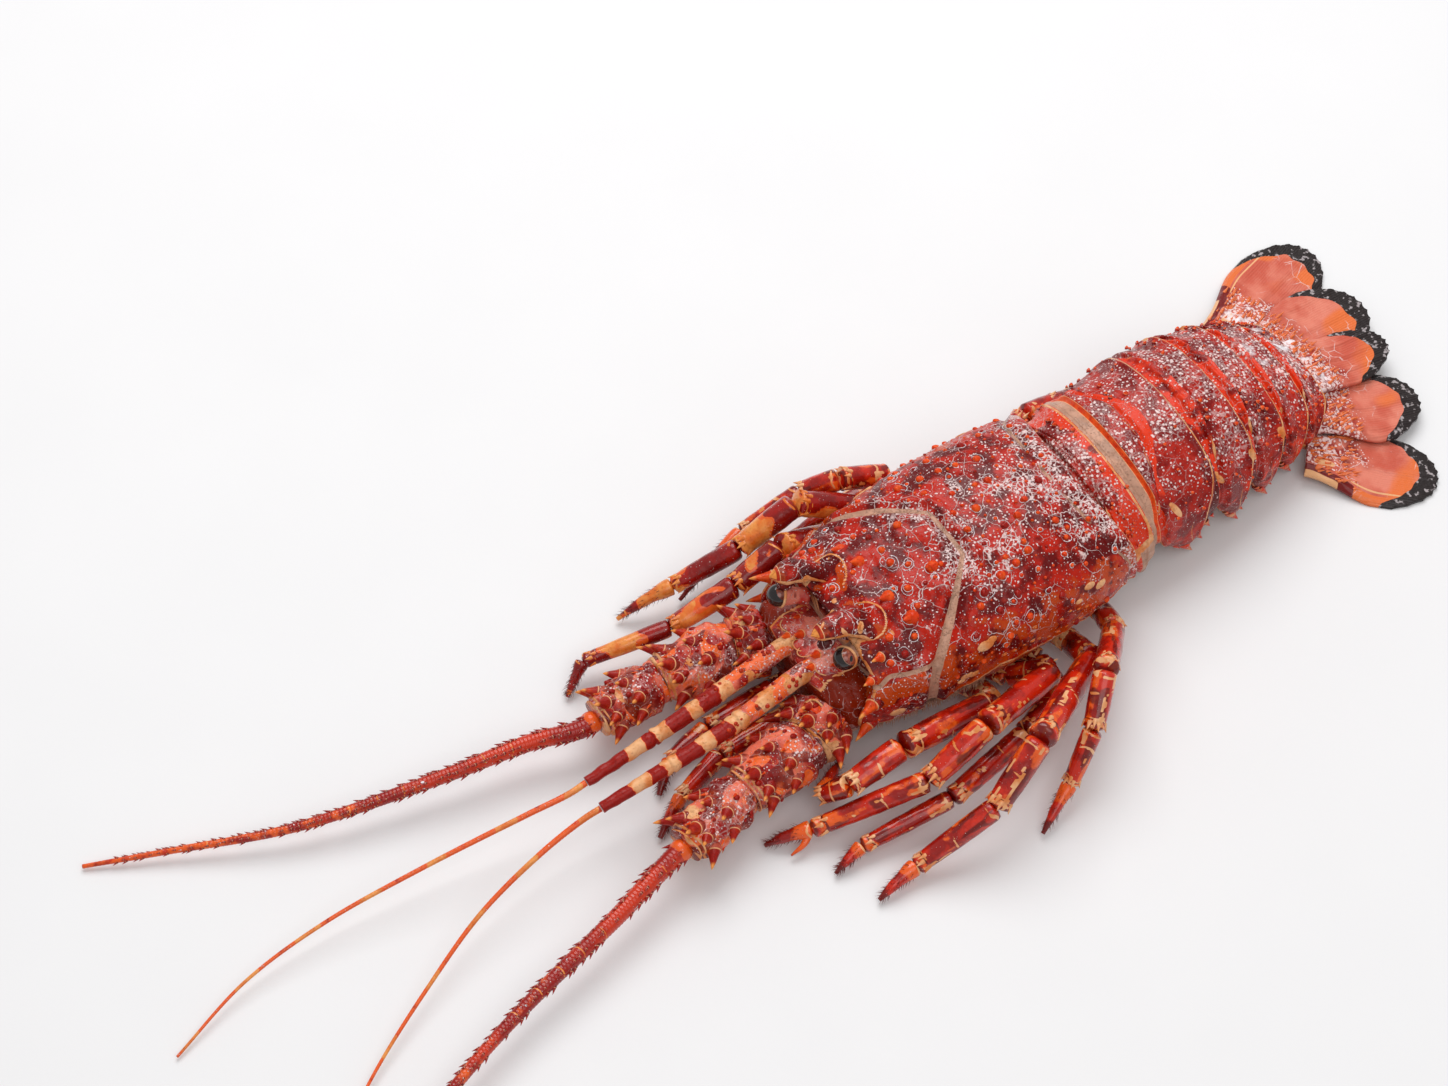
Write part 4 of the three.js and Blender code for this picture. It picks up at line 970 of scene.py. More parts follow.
def stem_joint(chain, i, seed):
    """One joint of a feeler stem, with crowns of hornlets, knobs and small spines."""
    start, end = facing(chain, i), facing(chain, i + 1)
    a, b = chain[i] + start * GAP / 2, chain[i + 1] - end * GAP / 2
    steps, sides = 92, 112
    t = np.linspace(0, 1, steps)
    line = a + (b - a) * t[:, None]
    r0, r1 = STEM_RADII[i], STEM_RADII[i + 1]
    big = max(r0, r1) * 1.04
    widths = [r0 * 0.84, r0 * 0.95, big, r1 * 1.08, r1 * 1.02, r1 * 0.9]
    radii = np.interp(t, [0, 0.12, 0.2, 0.8, 0.9, 1], widths)
    radii = radii - 0.5 * bell(t - 0.1, 0.05) - 0.7 * bell(t - 0.955, 0.025)
    P = tube_points(line, radii, sides, 0.92, start, end)
    out = unit(P - line[:, None])
    blots = wave(P, 11, seed + 2)
    relief = 0.45 * wave(P, 8, seed) + 0.18 * wave(P, 3.5, seed + 1) - 0.3 * bell(blots, 0.1)
    P = P + out * relief[..., None]
    T = np.broadcast_to(t[:, None], P.shape[:2]) + 0.012 * wave(P, 6, seed + 5)
    cream = 1.0 * bell(T - 0.925, 0.02) + 1.0 * bell(T - 0.985, 0.02) + 0.7 * bell(blots, 0.07)
    cream = cream + 0.8 * smooth(0.5, 0.8, wave(P, 14, seed + 4)) * smooth(0.4, 0.8, T)
    marks = {
        "cream": cream,
        "dark": 0.605 * smooth(0.15, 0.3, blots),
        "orange": 0.7 * smooth(0.2, 0.5, wave(P, 9, seed + 6)),
        "frost": 0.2 + 0.25 * out[..., 2] + 0.3 * smooth(0.0, 0.5, wave(P, 16, seed + 8)),
    }
    parts = [rings_part(P, **marks)]
    along, across, up = frames(line, start, end)
    rnd = np.random.default_rng(seed)

    def put(spots, profile, sides, lean, **marks):
        feet, away = [], []
        for share, degrees, *_ in spots:
            k = int(share * (steps - 1))
            direction = spoke(across[k], up[k], math.radians(degrees), 0.92)
            feet.append(line[k] + direction * (radii[k] * 0.98))
            away.append(direction)
        length, radius = np.array([s[2:4] for s in spots]).T
        parts.append(studs(feet, away, along[steps // 2] * lean, length, radius, profile, sides, **marks))

    # a crown of hornlets near the far end, others further back: share, degrees, length, radius
    crown = [(0.84, 8, 6.2, 2.0), (0.84, 48, 4.4, 1.8), (0.86, 92, 5.2, 2.0), (0.84, 134, 4.2, 1.7)]
    crown += [(0.84, 172, 6.2, 2.0), (0.46, 28, 4.6, 1.9), (0.5, 76, 3.6, 1.6), (0.44, 122, 4.4, 1.8)]
    crown += [(0.5, 162, 4.6, 1.8), (0.7, -12, 4.6, 1.7)]
    crown = [(u, d + rnd.uniform(-7, 7), h * rnd.uniform(0.8, 1.15), r) for u, d, h, r in crown]
    put(crown, HORNLET, 18, 0.9, dark=0.55)
    knobs = []
    for _ in range(16):
        r = rnd.uniform(0.4, 1.1)
        knobs.append((rnd.uniform(0.14, 0.9), rnd.uniform(-25, 205), r * 1.25, r))
    put(knobs, DOME, 14, 0.5, pale=0.5, dark=0.7)
    thorns = []
    for _ in range(12):
        r = rnd.uniform(0.35, 0.65)
        thorns.append((rnd.uniform(0.16, 0.92), rnd.uniform(-30, 210), r * 3.4, r))
    put(thorns, SPIKE, 9, 1.2, dark=0.3)
    return parts


def antenna_extras():
    """The round knob and the long pointed plate at the root of the near feeler."""
    knob = studs((18.6, -62.4, 23.2), VIEW_BACK, NO_LEAN, 2.6, 2.9, DOME, 30, top=0.5)
    skirt = loops((18.6, -62.4, 24.0), VIEW_BACK, 3.6, 0.4, 3, 40, cream=1.0)
    line = smooth_line([[22.6, -57.6, 22.5], [25.4, -61.4, 20.0], [29.6, -67.5, 14.5]], 50)
    t = np.linspace(0, 1, 50)
    P = tube_points(line, np.interp(t, [0, 0.12, 0.35, 0.7, 1], [0.8, 2.3, 1.8, 1.2, 0.15]), 30, 0.7)
    golden = 0.5 * smooth(0.3, 0.0, t) + 0.9 * smooth(0.85, 1, t)
    cream = 1.0 * smooth(0.25, 0.55, wave(P, 5, 90))
    return [knob, skirt, rings_part(P, cream=cream, tip=golden[:, None], frost=0.2)]


def whip_parts(stem, whip, root, tip, seed, barbs=True, count=900, sides=12):
    """The whip of a feeler from the end of its stem: fine rings all along, with or without barbs."""
    before, end = np.asarray(stem[-2], float), np.asarray(stem[-1], float)
    along = unit(end - before)
    start = end + along * GAP
    line = smooth_line([start, start + along * 6] + [list(w) for w in whip], count)
    t = np.linspace(0, 1, count)
    arc = np.linalg.norm(np.diff(line, axis=0), axis=1).sum() * t
    radii = mix(root, tip, t**0.85)
    P = tube_points(line, radii + 0.02 * radii * np.cos(2 * math.pi * arc / 1.25), sides, first=along)
    turn = turns(sides, 0.5)
    shift = arc[:, None] + 0.8 * np.sin(turn)[None] + 1.2 * wave(P, 30, seed)
    if not barbs:
        bands = smooth(0.35, 0.6, np.sin(2 * math.pi * shift / 23) + 0.35 * wave(P, 40, seed + 1))
        return [rings_part(P, cream=bands, orange=0.75)]
    # smooth red with thin pale rings, frost threads along the top, and rows of small barbs
    rings = bell((shift + 2) % 9 - 4.5, 0.45) * smooth(0.25, 0.6, wave(P, 25, seed + 2) + 0.5)
    across_rows = np.sin(turn * 3 + 0.05 * arc[:, None] + wave(P, 18, seed + 3))
    threads = bell(across_rows, 0.16) * (np.sin(turn) > 0.1)
    frost = 1.55 * threads * smooth(-0.1, 0.3, wave(P, 12, seed + 4))
    orange = 0.15 + 0.45 * smooth(0.1, 0.8, t)[:, None]
    parts = [rings_part(P, cream=0.75 * rings, orange=orange, frost=frost)]
    _, across, up = frames(line)
    dirs = unit(np.gradient(line, axis=0))
    rnd = np.random.default_rng(seed)
    feet, away, size, lean = [], [], [], []
    for k in range(14, int(count * 0.94), 14):
        for d in (2, 55, 125, 178):
            if rnd.random() < 0.25:
                continue
            turn = math.radians(d + rnd.uniform(-10, 10))
            j = min(count - 1, k + int(rnd.uniform(-5, 5)))
            direction = spoke(across[j], up[j], turn)
            feet.append(line[j] + direction * radii[j] * 0.95)
            away.append(direction)
            size.append((0.3 + radii[j] * rnd.uniform(0.14, 0.24)) * (0.75 if 20 < d < 160 else 1))
            lean.append(dirs[j] * 1.2)
    size = np.array(size)
    parts.append(studs(feet, away, np.array(lean), size * 2.4, size * 0.8, SPIKE, 7, top=0.75, dark=0.9))
    # the ball joint at the root, with a frosted collar
    place = start + along * (root * 0.55)
    parts.append(rings_part(ball(place, root * 1.12, rows=30, cols=44), orange=1.4, frost=0.1))
    return parts


ANTENNULE = {
    "left": {
        "stem": [[5.6, -57.5, 27], [8.6, -93, 24], [8.2, -135, 19]],
        "whip": [[9.6, -158, 15], [15, -183, 10.2], [25.6, -208, 6], [38, -232, 3], [51, -252, 1.2]],
        "bands": [0.0, 0.43, 0.51, 0.57, 0.66, 0.73, 0.79, 0.87],
    },
    "right": {
        "stem": [[-5.6, -57.5, 27], [-3.2, -93, 24], [-2, -134, 19]],
        "whip": [[-3.6, -155, 16.4], [-7.8, -191, 11.4], [-9.6, -224, 7.8], [-7, -253, 4.5], [2, -281, 1.2]],
        "bands": [0.0, 0.40, 0.48, 0.54, 0.62, 0.69, 0.74, 0.82],
    },
}


def antennule_stem(stem, bands, seed):
    """The stem of a thin feeler: three joints, dark red with cream bands between pairs of shares."""
    stem = np.array(stem, float)
    points = np.concatenate([stem[:1] + [0, 5, 0], stem])
    count, sides = 260, 30
    line = smooth_line(points, count)
    t = np.linspace(0, 1, count)
    radii = np.interp(t, [0, 0.06, 0.25, 0.6, 1], [3.2, 3.3, 3.15, 2.7, 1.75])
    for joint in (0.4, 0.7):
        collar = 0.35 * bell(t - joint + 0.012, 0.02) + 0.2 * bell(t - joint - 0.02, 0.02)
        radii = radii + collar - 0.4 * bell(t - joint, 0.006)
    P = tube_points(line, radii, sides)
    out = unit(P - line[:, None])
    P = P + out * (0.12 * wave(P, 5, seed))[..., None]
    T = t[:, None] + 0.008 * wave(P, 7, seed + 1) + 0.004 * wave(P, 2.5, seed + 4)
    pale = np.zeros_like(T)
    for low, high in zip(bands[0::2], bands[1::2]):
        pale = np.maximum(pale, smooth(low - 0.004, low + 0.004, T) * smooth(high + 0.004, high - 0.004, T))
    root = smooth(0.42, 0.3, T)
    blots = smooth(0.15, 0.35, wave(P, 9, seed + 2)) * root
    faded = 1 - 0.85 * root * smooth(-0.1, 0.2, wave(P, 8, seed + 6))
    cream = pale * 1.05 * (1 - 0.9 * blots) * faded
    outer = (1 - pale) * smooth(0.36, 0.4, T)
    dark = outer + 0.7 * smooth(0.5, 0.7, wave(P, 6, seed + 7)) * root
    parts = [rings_part(P, cream=cream, orange=pale * blots, dark=dark, tip=0.5 * outer, frost=0.5 * root)]
    _, across, up = frames(line)
    rnd = np.random.default_rng(seed)
    feet, away = [], []
    for _ in range(16):
        k, turn = int(rnd.uniform(0.1, 0.45) * count), rnd.uniform(0.2, 2.9)
        direction = spoke(across[k], up[k], turn)
        feet.append(line[k] + direction * radii[k])
        away.append(direction)
    size = rnd.uniform(0.35, 0.8, 16)
    parts.append(studs(feet, away, (0, -0.4, 0), size, size, DOME, 10, top=0.7, dark=0.5))
    return parts


for side, seed in (("left", 50), ("right", 60)):
    chain = np.array(ANTENNA[side]["joints"], float)
    for i in range(3):
        name = f"antenna_base_{i + 1}_{side}"
        shape = stem_joint(chain, i, seed + i * 10)
        if name == "antenna_base_1_left":
            shape += antenna_extras()
        piece(f"{name}_shell", shape, FRONT, [name])
    names = [f"antenna_whip_{side}_{k}" for k in (1, 2, 3)]
    whip = whip_parts(chain, ANTENNA[side]["whip"], 3.3, 0.7, seed)
    piece(f"antenna_whip_{side}", whip, WHIP, names)
    thin = ANTENNULE[side]
    stem = antennule_stem(thin["stem"], thin["bands"], seed + 3)
    piece(f"antennule_{side}_shell", stem, FRONT, [f"antennule_{side}"])
    whip = whip_parts(thin["stem"], thin["whip"], 1.1, 0.45, seed, barbs=False, count=500)
    piece(f"antennule_whip_{side}_shell", whip, WHIP, [f"antennule_whip_{side}"])

# Mouth legs and walking legs

MAXILLIPED = {
    "left": [[6.4, -42, 5.5], [5.4, -62, 5], [5.6, -90, 5], [11, -108, 4], [19, -121, 2]],
    "right": [[-6.4, -42, 5.5], [-5.4, -62, 5], [-5, -88, 5], [-2, -104, 4], [6, -113, 2]],
}
# A size, then the hip (y, z) and points by the carapace edge, knee base, knee, wrist, ankle, claw tip
LEGS = {
    "leg_1_left": (1, [
        [-18, 6.5], [32, -8, 7], [41, -11, 15], [42, -46, 21], [42.5, -66, 17], [37.5, -73, 10], [29, -60, 6],
    ]),
    "leg_2_left": (1, [
        [-9, 6.5], [33, 3, 8], [44, 11, 18], [53, -22, 28], [55, -45, 18], [44, -81, 6], [39, -95, 2],
    ]),
    "leg_3_left": (0.86, [
        [6, 6.5], [33, 15, 6.5], [47, 13, 8], [56, -8, 14], [61, -40, 11], [57, -71, 5], [59, -82, 1.6],
    ]),
    "leg_4_left": (1, [
        [21, 6.5], [34, 27, 8], [47, 24, 18], [68, -13, 32], [74, -33, 18], [72, -61, 5], [74, -76, 1.8],
    ]),
    "leg_5_left": (0.9, [
        [35, 6.5], [30, 42, 9], [41, 38, 16], [59, 19, 32], [70, 7, 22], [76, -5, 8], [83, -20, 1.8],
    ]),
    "leg_1_right": (1, [
        [-24, 6.5], [-31, -17, 7], [-39.5, -18, 15], [-38, -38, 26],
        [-37, -56, 20], [-38.5, -80, 13.5], [-46, -108.8, 8], [-41, -118, 1.4],
    ]),
    "leg_2_right": (1, [
        [-9, 6.5], [-33, -4, 8], [-41, -6, 20], [-47.5, -26, 30],
        [-48.5, -47, 20], [-53, -70, 11], [-57, -89, 2],
    ]),
    "leg_3_right": (0.9, [
        [6, 6.5], [-34, 11, 8], [-46, 10, 20], [-50, -7, 26], [-56, -18, 20], [-58, -40, 12], [-52, -68, 2],
    ]),
    "leg_4_right": (0.9, [
        [21, 6.5], [-34, 26, 7], [-44, 24, 8], [-50, 8, 9], [-51, -6, 8], [-50, -24, 5], [-49, -36, 1.8],
    ]),
    "leg_5_right": (0.85, [
        [35, 6.5], [-30, 42, 8], [-39, 48, 10], [-45, 66, 13], [-46, 80, 9], [-45, 96, 4.5], [-44, 106, 1.6],
    ]),
}
UPPER_RADII = np.array([4.2, 4, 4.2, 4.3])
LOWER_RADII = np.array([4.3, 3.7, 2.9, 0.7])
BENT_RADII = np.array([4.3, 4, 3.1, 2.3, 0.7])


def leg_segment(a, b, ra, rb, seed, is_tip, spotted, is_slim):
    """One joint of a leg, with rounded ends, a flared collar at its far end and pale bands there."""
    count, sides = 60, 30
    t = np.linspace(0, 1, count)
    length = np.linalg.norm(b - a)
    line = a + (b - a) * t[:, None]
    if is_tip:
        radii = mix(ra, rb, t**1.2) * (1 + 0.06 * np.sin(12 * t))
        line[:, 2] += 0.06 * length * np.sin(math.pi * t)
    else:
        radii = mix(ra, rb, t) + 0.08 * bell(t - 0.95, 0.04) * rb + 0.05 * bell(t - 0.5, 0.5) * ra
        radii = radii - 0.05 * ra * bell(t - 0.03, 0.04) - 0.07 * ra * bell(t - 0.885, 0.012)
    near = t * length if is_tip else np.minimum(t, 1 - t) * length
    radii = radii * np.sqrt(np.clip(1 - (1 - np.clip(near / (0.32 * ra) + 0.12, 0, 1)) ** 2, 0.02, 1))
    P = tube_points(line, radii, sides)
    out = unit(P - line[:, None])
    P = P + out * (0.08 * wave(P, 6, seed))[..., None]
    turn = turns(sides, 0.5)
    T = np.broadcast_to(t[:, None], P.shape[:2]) + (1.0 / max(length, 12)) * wave(P, 8, seed + 1)
    wide = 1.6 / max(length, 14)
    patchy = smooth(-0.5, 0.1, wave(P, 6, seed + 8))
    rims = bell(T - 0.945, wide * 0.5) + 0.9 * bell(T - 0.07, wide * 0.4) + 0.9 * bell(T - 0.87, wide * 0.28)
    rims = patchy * rims
    low_side = smooth(0.1, -0.5, out[..., 2])
    spread = np.broadcast_to(turn, P.shape[:2])
    Q = np.stack([T * length * 0.33, ra * np.cos(spread), ra * np.sin(spread)], -1) + a * 0.37
    if spotted:
        blots = wave(P, 15, seed + 2) + 0.35 * wave(P, 7, seed + 3)
        cream = 1.1 * smooth(0.26, 0.36, blots) + rims
        warm = 0.9 * smooth(-0.02, 0.16, blots)
        parts = [rings_part(P, cream=cream, orange=warm, dark=0.1, frost=0.25)]
    else:
        streak = wave(Q, 4.2, seed + 2) + 0.4 * wave(Q * [1.5, 1, 1], 1.8, seed + 9)
        streak = streak + 0.35 * bell(T - 0.9, 0.12) + 0.3 * bell(T - 0.08, 0.1)
        cream = rims + 1.1 * smooth(0.98, 1.1, streak + 0.2 * low_side)
        ring = 0.9 * bell(T - 0.42 - 0.1 * math.sin(seed), wide * 0.5)
        ring = ring * smooth(-0.2, 0.5, wave(P, 9, seed + 4))
        orange = 0.55 * bell(T - 0.92, 0.1) + 0.5 * bell(T - 0.06, 0.08) + 0.5 * low_side
        orange = orange + 0.6 * smooth(0.2, 0.6, wave(Q, 5, seed + 5))
        dark = 0.6 * smooth(0.1, 0.6, wave(Q, 5, seed + 6)) * (1 - 0.8 * smooth(0.8, 0.9, T))
        dark = dark + 0.7 * bell(T - 0.99, 0.05) + bell(T - 0.885, 0.02)
        if is_tip:
            cream = 0.9 * bell(T - 0.03, 0.05)
            dark = 0.9 * smooth(0.5, 0.95, T) + 0.4 * is_slim
            orange = 0.9 * smooth(0.6, 0.2, T)
            ring = 0
        parts = [rings_part(P, cream=cream + ring, orange=orange, dark=dark, frost=0.12 * (1 - is_slim))]
    along, across, up = frames(line)
    rnd = np.random.default_rng(seed)
    feet, away, size = [], [], []
    if is_tip:
        for _ in range(150 if is_slim else 110):
            k = int(rnd.uniform(0.12, 0.95) * (count - 1))
            turn = rnd.uniform(0, 2 * math.pi)
            direction = spoke(across[k], up[k], turn)
            feet.append(line[k] + direction * radii[k] * 0.8)
            away.append(direction)
            size.append(rnd.uniform(0.9, 2.2))
        parts.append(studs(feet, away, along[20] * 0.9, size, 0.13, SPIKE, 4, top=0.0, dark=0.9))
    else:
        for back, degrees in ((6, 60), (6, 115), (7, 0), (7, 180), (9, 90)):
            k = count - back
            direction = spoke(across[k], up[k], math.radians(degrees))
            feet.append(line[k] + direction * radii[k] * 0.9)
            away.append(direction)
        parts.append(studs(feet, away, along[20] * 1.7, ra * 0.5, ra * 0.2, SPIKE, 10, top=0.0, cream=0.9))
    return parts


def leg_parts(points, radii, seed, has_tip, spotted=False, is_slim=0):
    parts = []
    last = len(points) - 2
    for i in range(last + 1):
        is_tip = has_tip and i == last
        ends = points[i], points[i + 1], radii[i], radii[i + 1]
        parts += leg_segment(*ends, seed + 7 * i, is_tip, spotted, is_slim)
    return parts


for index, (name, (size, path)) in enumerate(LEGS.items()):
    side = 1 if name.endswith("left") else -1
    points = np.array([[side * 10, *path[0]]] + path[1:], float)
    upper, lower = points[:4].copy(), points[3:].copy()
    lean = unit(lower[1] - upper[2])
    upper[3] -= lean * GAP / 2
    lower[0] += lean * GAP / 2
    seed = 100 + index * 40
    spotted = name in ("leg_1_right", "leg_2_right")
    paint = SPOT if spotted else LEG
    low_radii = (BENT_RADII if len(lower) == 5 else LOWER_RADII) * size
    shape = leg_parts(upper, UPPER_RADII * size, seed, False, spotted)
    piece(f"{name}_upper_shell", shape, paint, [f"{name}_upper"])
    shape = leg_parts(lower, low_radii, seed + 20, True, spotted)
    if name == "leg_2_left":
        # a short second finger beside the claw
        foot = mix(lower[-2], lower[-1], 0.05)
        finger = smooth_line([foot, foot + [2.6, -3.4, -1.2], foot + [3.0, -8.6, -3.2]], 30)
        t = np.linspace(0, 1, 30)
        shape.append(rings_part(tube_points(finger, mix(1.7, 0.3, t), 20), orange=0.8, dark=0.5 * t[:, None]))
    piece(f"{name}_lower_shell", shape, paint, [f"{name}_lower"])

for side, line in MAXILLIPED.items():
    points = np.array(line, float)
    shape = leg_parts(points, np.array([4.0, 3.9, 3.3, 2.4, 0.9]), 520, True, is_slim=1)
    piece(f"maxilliped_{side}_shell", shape, LEG, [f"maxilliped_{side}"])

# Abdomen: joint, y of the crest, y of the lower edge, half width, height of the crest, belly, middle
JOINTS = np.array(
    [
        [0, 47.8, 58, 29.5, 44.5, 12, -3.5],
        [1, 63, 70, 32, 46, 9, -5.5],
        [2, 92, 94, 33, 46.5, 8, -7.5],
        [3, 110, 110, 32, 44.5, 7, -8.5],
        [4, 126, 124, 29.5, 40, 6, -9],
        [5, 139.5, 135.5, 26.5, 34, 6, -9],
        [6, 151, 145.5, 22.5, 25.5, 6, -9],
    ]
)
# How far the lower edge hangs down along a segment: share of its length, share of the drop
DROP = np.array([[0.0, 0.05], [0.13, 0.25], [0.21, 0.45], [0.42, 0.8], [0.57, 1.0], [0.82, 0.6], [1.0, 0.1]])
# One long cream drop on each flank: segment, share of its length, share of a quarter turn
CREAM_DROPS = ((1, 0.36, 0.71), (2, 0.04, 0.73), (2, 0.93, 0.70), (3, 0.90, 0.68))
# Spines of the lower edge: share of the segment's length, height, size
EDGE_SPINES = ((0.52, 6.4, 1.05), (0.7, 8.5, 0.85), (0.84, 12, 0.65), (0.36, 9.0, 0.55), (0.93, 14.5, 0.45))


def abdomen_ring(place, low, sunk, angle):
    top_y, low_y, half, crest, _, middle = (station(JOINTS, place, c) for c in range(1, 7))
    x, z = arch(half - sunk, crest - sunk, low, 0.3, 3.5, 2.1, angle)
    return np.stack([x + middle, mix(low_y, top_y, (z - 5) / (crest - 5)), z], -1)


def build_segment(index):
    """One ring of the abdomen, with its bands, spines and small knobs."""
    rows, cols = 96, 250
    limit = QUARTER + TUCK_SPAN
    angle = np.linspace(-limit, limit, cols)
    start = 0.02 if index == 0 else -0.10
    t = np.linspace(start, 0.995, rows)
    T, A = np.meshgrid(t, angle, indexing="ij")
    share = np.abs(A) / QUARTER
    drop = np.interp(T, DROP[:, 0], DROP[:, 1])
    low = mix(17, 4.5, drop)
    sunk = 1.7 * smooth(0.21, 0.12, T)
    base = abdomen_ring(index + T, low, sunk, A)
    span = JOINTS[index + 1, 1] - JOINTS[index, 1]
    lift = np.zeros_like(T)
    marks = {m: np.zeros_like(T) for m in MARKS}
    orange, cream, dark, frost, tip, skin = marks.values()
    wander = 0.012 * wave(base, 12, 90 + index)
    # the front strip is smooth and bright up to a pale line, then the plate is dark and frosted
    sweep = smooth(0.05, 0.85, share)
    line_at = (0.42 if index == 1 else 0.34) - 0.32 * sweep + wander
    front = smooth(line_at + 0.02, line_at - 0.02, T)
    lift -= 0.9 * bell(T - line_at - 0.03, 0.05) - 0.35 * bell(T - line_at + 0.03, 0.05)
    cream += 0.95 * bell((T - line_at) * span, 0.42) * smooth(-0.6, 0.2, wave(base, 8, 80 + index))
    rear_at = 1.0 - 0.3 * smooth(0.5, 1.15, share)
    past = smooth(rear_at - 0.005, rear_at + 0.03, T) * (index > 0)
    lift -= 1.0 * past
    dark += 0.5 * past + 0.25 * (1 - front) * smooth(-0.2, 0.4, wave(base, 13, 95 + index))
    cream += 1.1 * bell((T - rear_at + 0.035) * span, 0.55)
    lift += 0.35 * bell((T - rear_at + 0.06) * span, 1.0)
    orange += 0.5 * front * (0.8 + 0.5 * wave(base, 14, 85 + index)) + 0.1 + 0.06 * index
    top = smooth(0.72, 0.1, share)
    rising = index / 5
    frost += (0.5 * (1 - front) + 0.2 * rising - 0.1) * (0.35 + 0.65 * smooth(0.8, 0.45, share))
    frost += 0.9 * max(0, rising - 0.5) * smooth(0.2, 0.6, wave(base, 16, 96)) * smooth(0.3, -0.2, A)
    frost += (0.20 + 0.35 * rising) * top * smooth(0.25, 0.0, np.abs(share - 0.1))
    frost += 0.15 * bell(T - 0.99, 0.06) * top
    flank = smooth(0.62, 0.8, share)
    frost -= 0.35 * flank
    orange += 0.1 * flank
    if index == 0:
        # the first plate: brown-orange, then a broad pale skin
        orange[:] = 0.85 - 0.9 * smooth(0.5, 0.3, share) * smooth(0.75, 0.55, T)
        orange += 0.2 * wave(base, 9, 86)
        frost[:] = 0.75 * smooth(0.55, 0.2, share) * smooth(0.85, 0.6, T) + 0.1
        skin += smooth(0.9, 0.93, T) + smooth(0.86, 0.9, share) * smooth(0.45, 0.55, T)
        cream += 1.1 * bell((T - 0.88) * span, 0.5)
        cream += 1.2 * smooth(0.35, 0.5, wave(base, 8, 87)) * smooth(0.55, 0.75, share)
        lift -= 0.9 * smooth(0.88, 0.92, T)
    if index == 1:
        skin_to = 0.125 - 0.12 * smooth(0.5, 0.85, share)
        skin += smooth(skin_to + 0.008, skin_to - 0.008, T)
        tip += 0.45 * bell((T - skin_to - 0.03) * span, 0.9)
        orange += 0.6 * smooth(0.24, 0.14, T)
        # a red band with frost dots, then a smooth bright zone
        dotted = smooth(0.16, 0.2, T) * smooth(line_at, line_at - 0.03, T)
        orange[:] = mix(orange, 0.1, dotted)
        frost += 0.45 * dotted
        zone_to = 0.62 - 0.3 * smooth(0.0, 0.5, share)
        zone = smooth(line_at + 0.02, line_at + 0.05, T) * smooth(zone_to + 0.02, zone_to - 0.02, T)
        zone = zone * smooth(0.62, 0.5, share)
        orange[:] = mix(orange, 1.1, zone)
        frost -= 0.55 * zone
    for i, at, around in CREAM_DROPS:
        if i == index:
            slope = (T - at) * span - (share - around) * 14
            spot = np.hypot(slope / 1.15, (share - around) * 47 / 3.1)
            cream += 1.4 * clamp01(1.5 - spot)
            dark -= 0.6 * clamp01(1.6 - spot)
            lift += 0.3 * bell(spot, 1.1)
    # the lower edge, and streaks down the lobe
    low_edge = (limit - np.abs(A)) * 30
    cream += 1.1 * bell(low_edge - 0.3, 1.0)
    streak = bell((T - 0.55 + 0.03 * np.sin(A * 9)) * span, 0.35) + bell((T - 0.74) * span, 0.35)
    cream += 0.8 * streak * smooth(0.8, 0.95, share) * (index > 0)
    lift += 0.6 * smooth(QUARTER - 0.15, QUARTER + 0.3, np.abs(A)) * bell(T - 0.5, 0.2)
    lift += 0.14 * wave(base, 6, 70 + index)
    ends = np.minimum(T - start, 0.995 - T)
    lift -= 0.7 * bell(ends, 0.03)
    P = base + normals_of(base) * lift[..., None]
    belly = station(JOINTS, index + t, 5)[:, None]
    u = np.linspace(0, 1, 16)[1:-1]
    under = mix(P[:, -1:], P[:, :1], u[None, :, None])
    hollow = np.minimum(1, np.sin(math.pi * u) ** 0.3)
    under[..., 2] = mix(under[..., 2], np.maximum(under[..., 2], belly), hollow)
    parts = [rings_part(np.concatenate([P, under], 1), **with_belly(marks, len(u)))]
    centre = station(JOINTS, index + 0.5, 6)
    rnd = np.random.default_rng(700 + index)
    if index:
        feet, size, away = [], [], []
        for side in (1, -1):
            for along, z, scale in EDGE_SPINES:
                _, y, half, _, _, middle = (station(JOINTS, index + along, c) for c in range(1, 7))
                x = middle + side * (half - 3.2)
                feet.append([x, y, z])
                away.append([0.3 * np.sign(x - centre), 0, -1.0])
                size.append(scale)
        size = np.array(size)
        marks = {"top": 0.0, "orange": 1.0, "cream": 0.42}
        parts.append(studs(feet, away, (0, 0.35, 0), 4.9 * size, 1.8 * size, SPIKE, 14, **marks))
    # small knobs and thorns along the bands and the flank
    count = 26
    us, shares = rnd.uniform(0.3, 0.93, count), rnd.uniform(0.1, 0.95, count)
    shares = shares * np.where(rnd.random(count) < 0.5, 1, -1)
    spot = lambda along, around: abdomen_ring(index + along, 12.0, 0, around * QUARTER)
    feet = spot(us, shares)
    away = unit(np.cross(spot(us, shares + 0.01) - feet, spot(us + 0.01, shares) - feet))
    inside = np.array([centre, 0, 15])
    away = away * np.sign(((feet - inside) * [1, 0, 1] * away).sum(-1, keepdims=True))
    size = rnd.uniform(0.35, 0.75, count)
    parts.append(studs(feet, away, (0, 0.5, 0), size * 1.2, size, DOME, 10, top=0.55))
    return parts


for i in range(6):
    piece(f"abdomen_{i + 1}_shell", build_segment(i), PLATE, [f"abdomen_{i + 1}"])

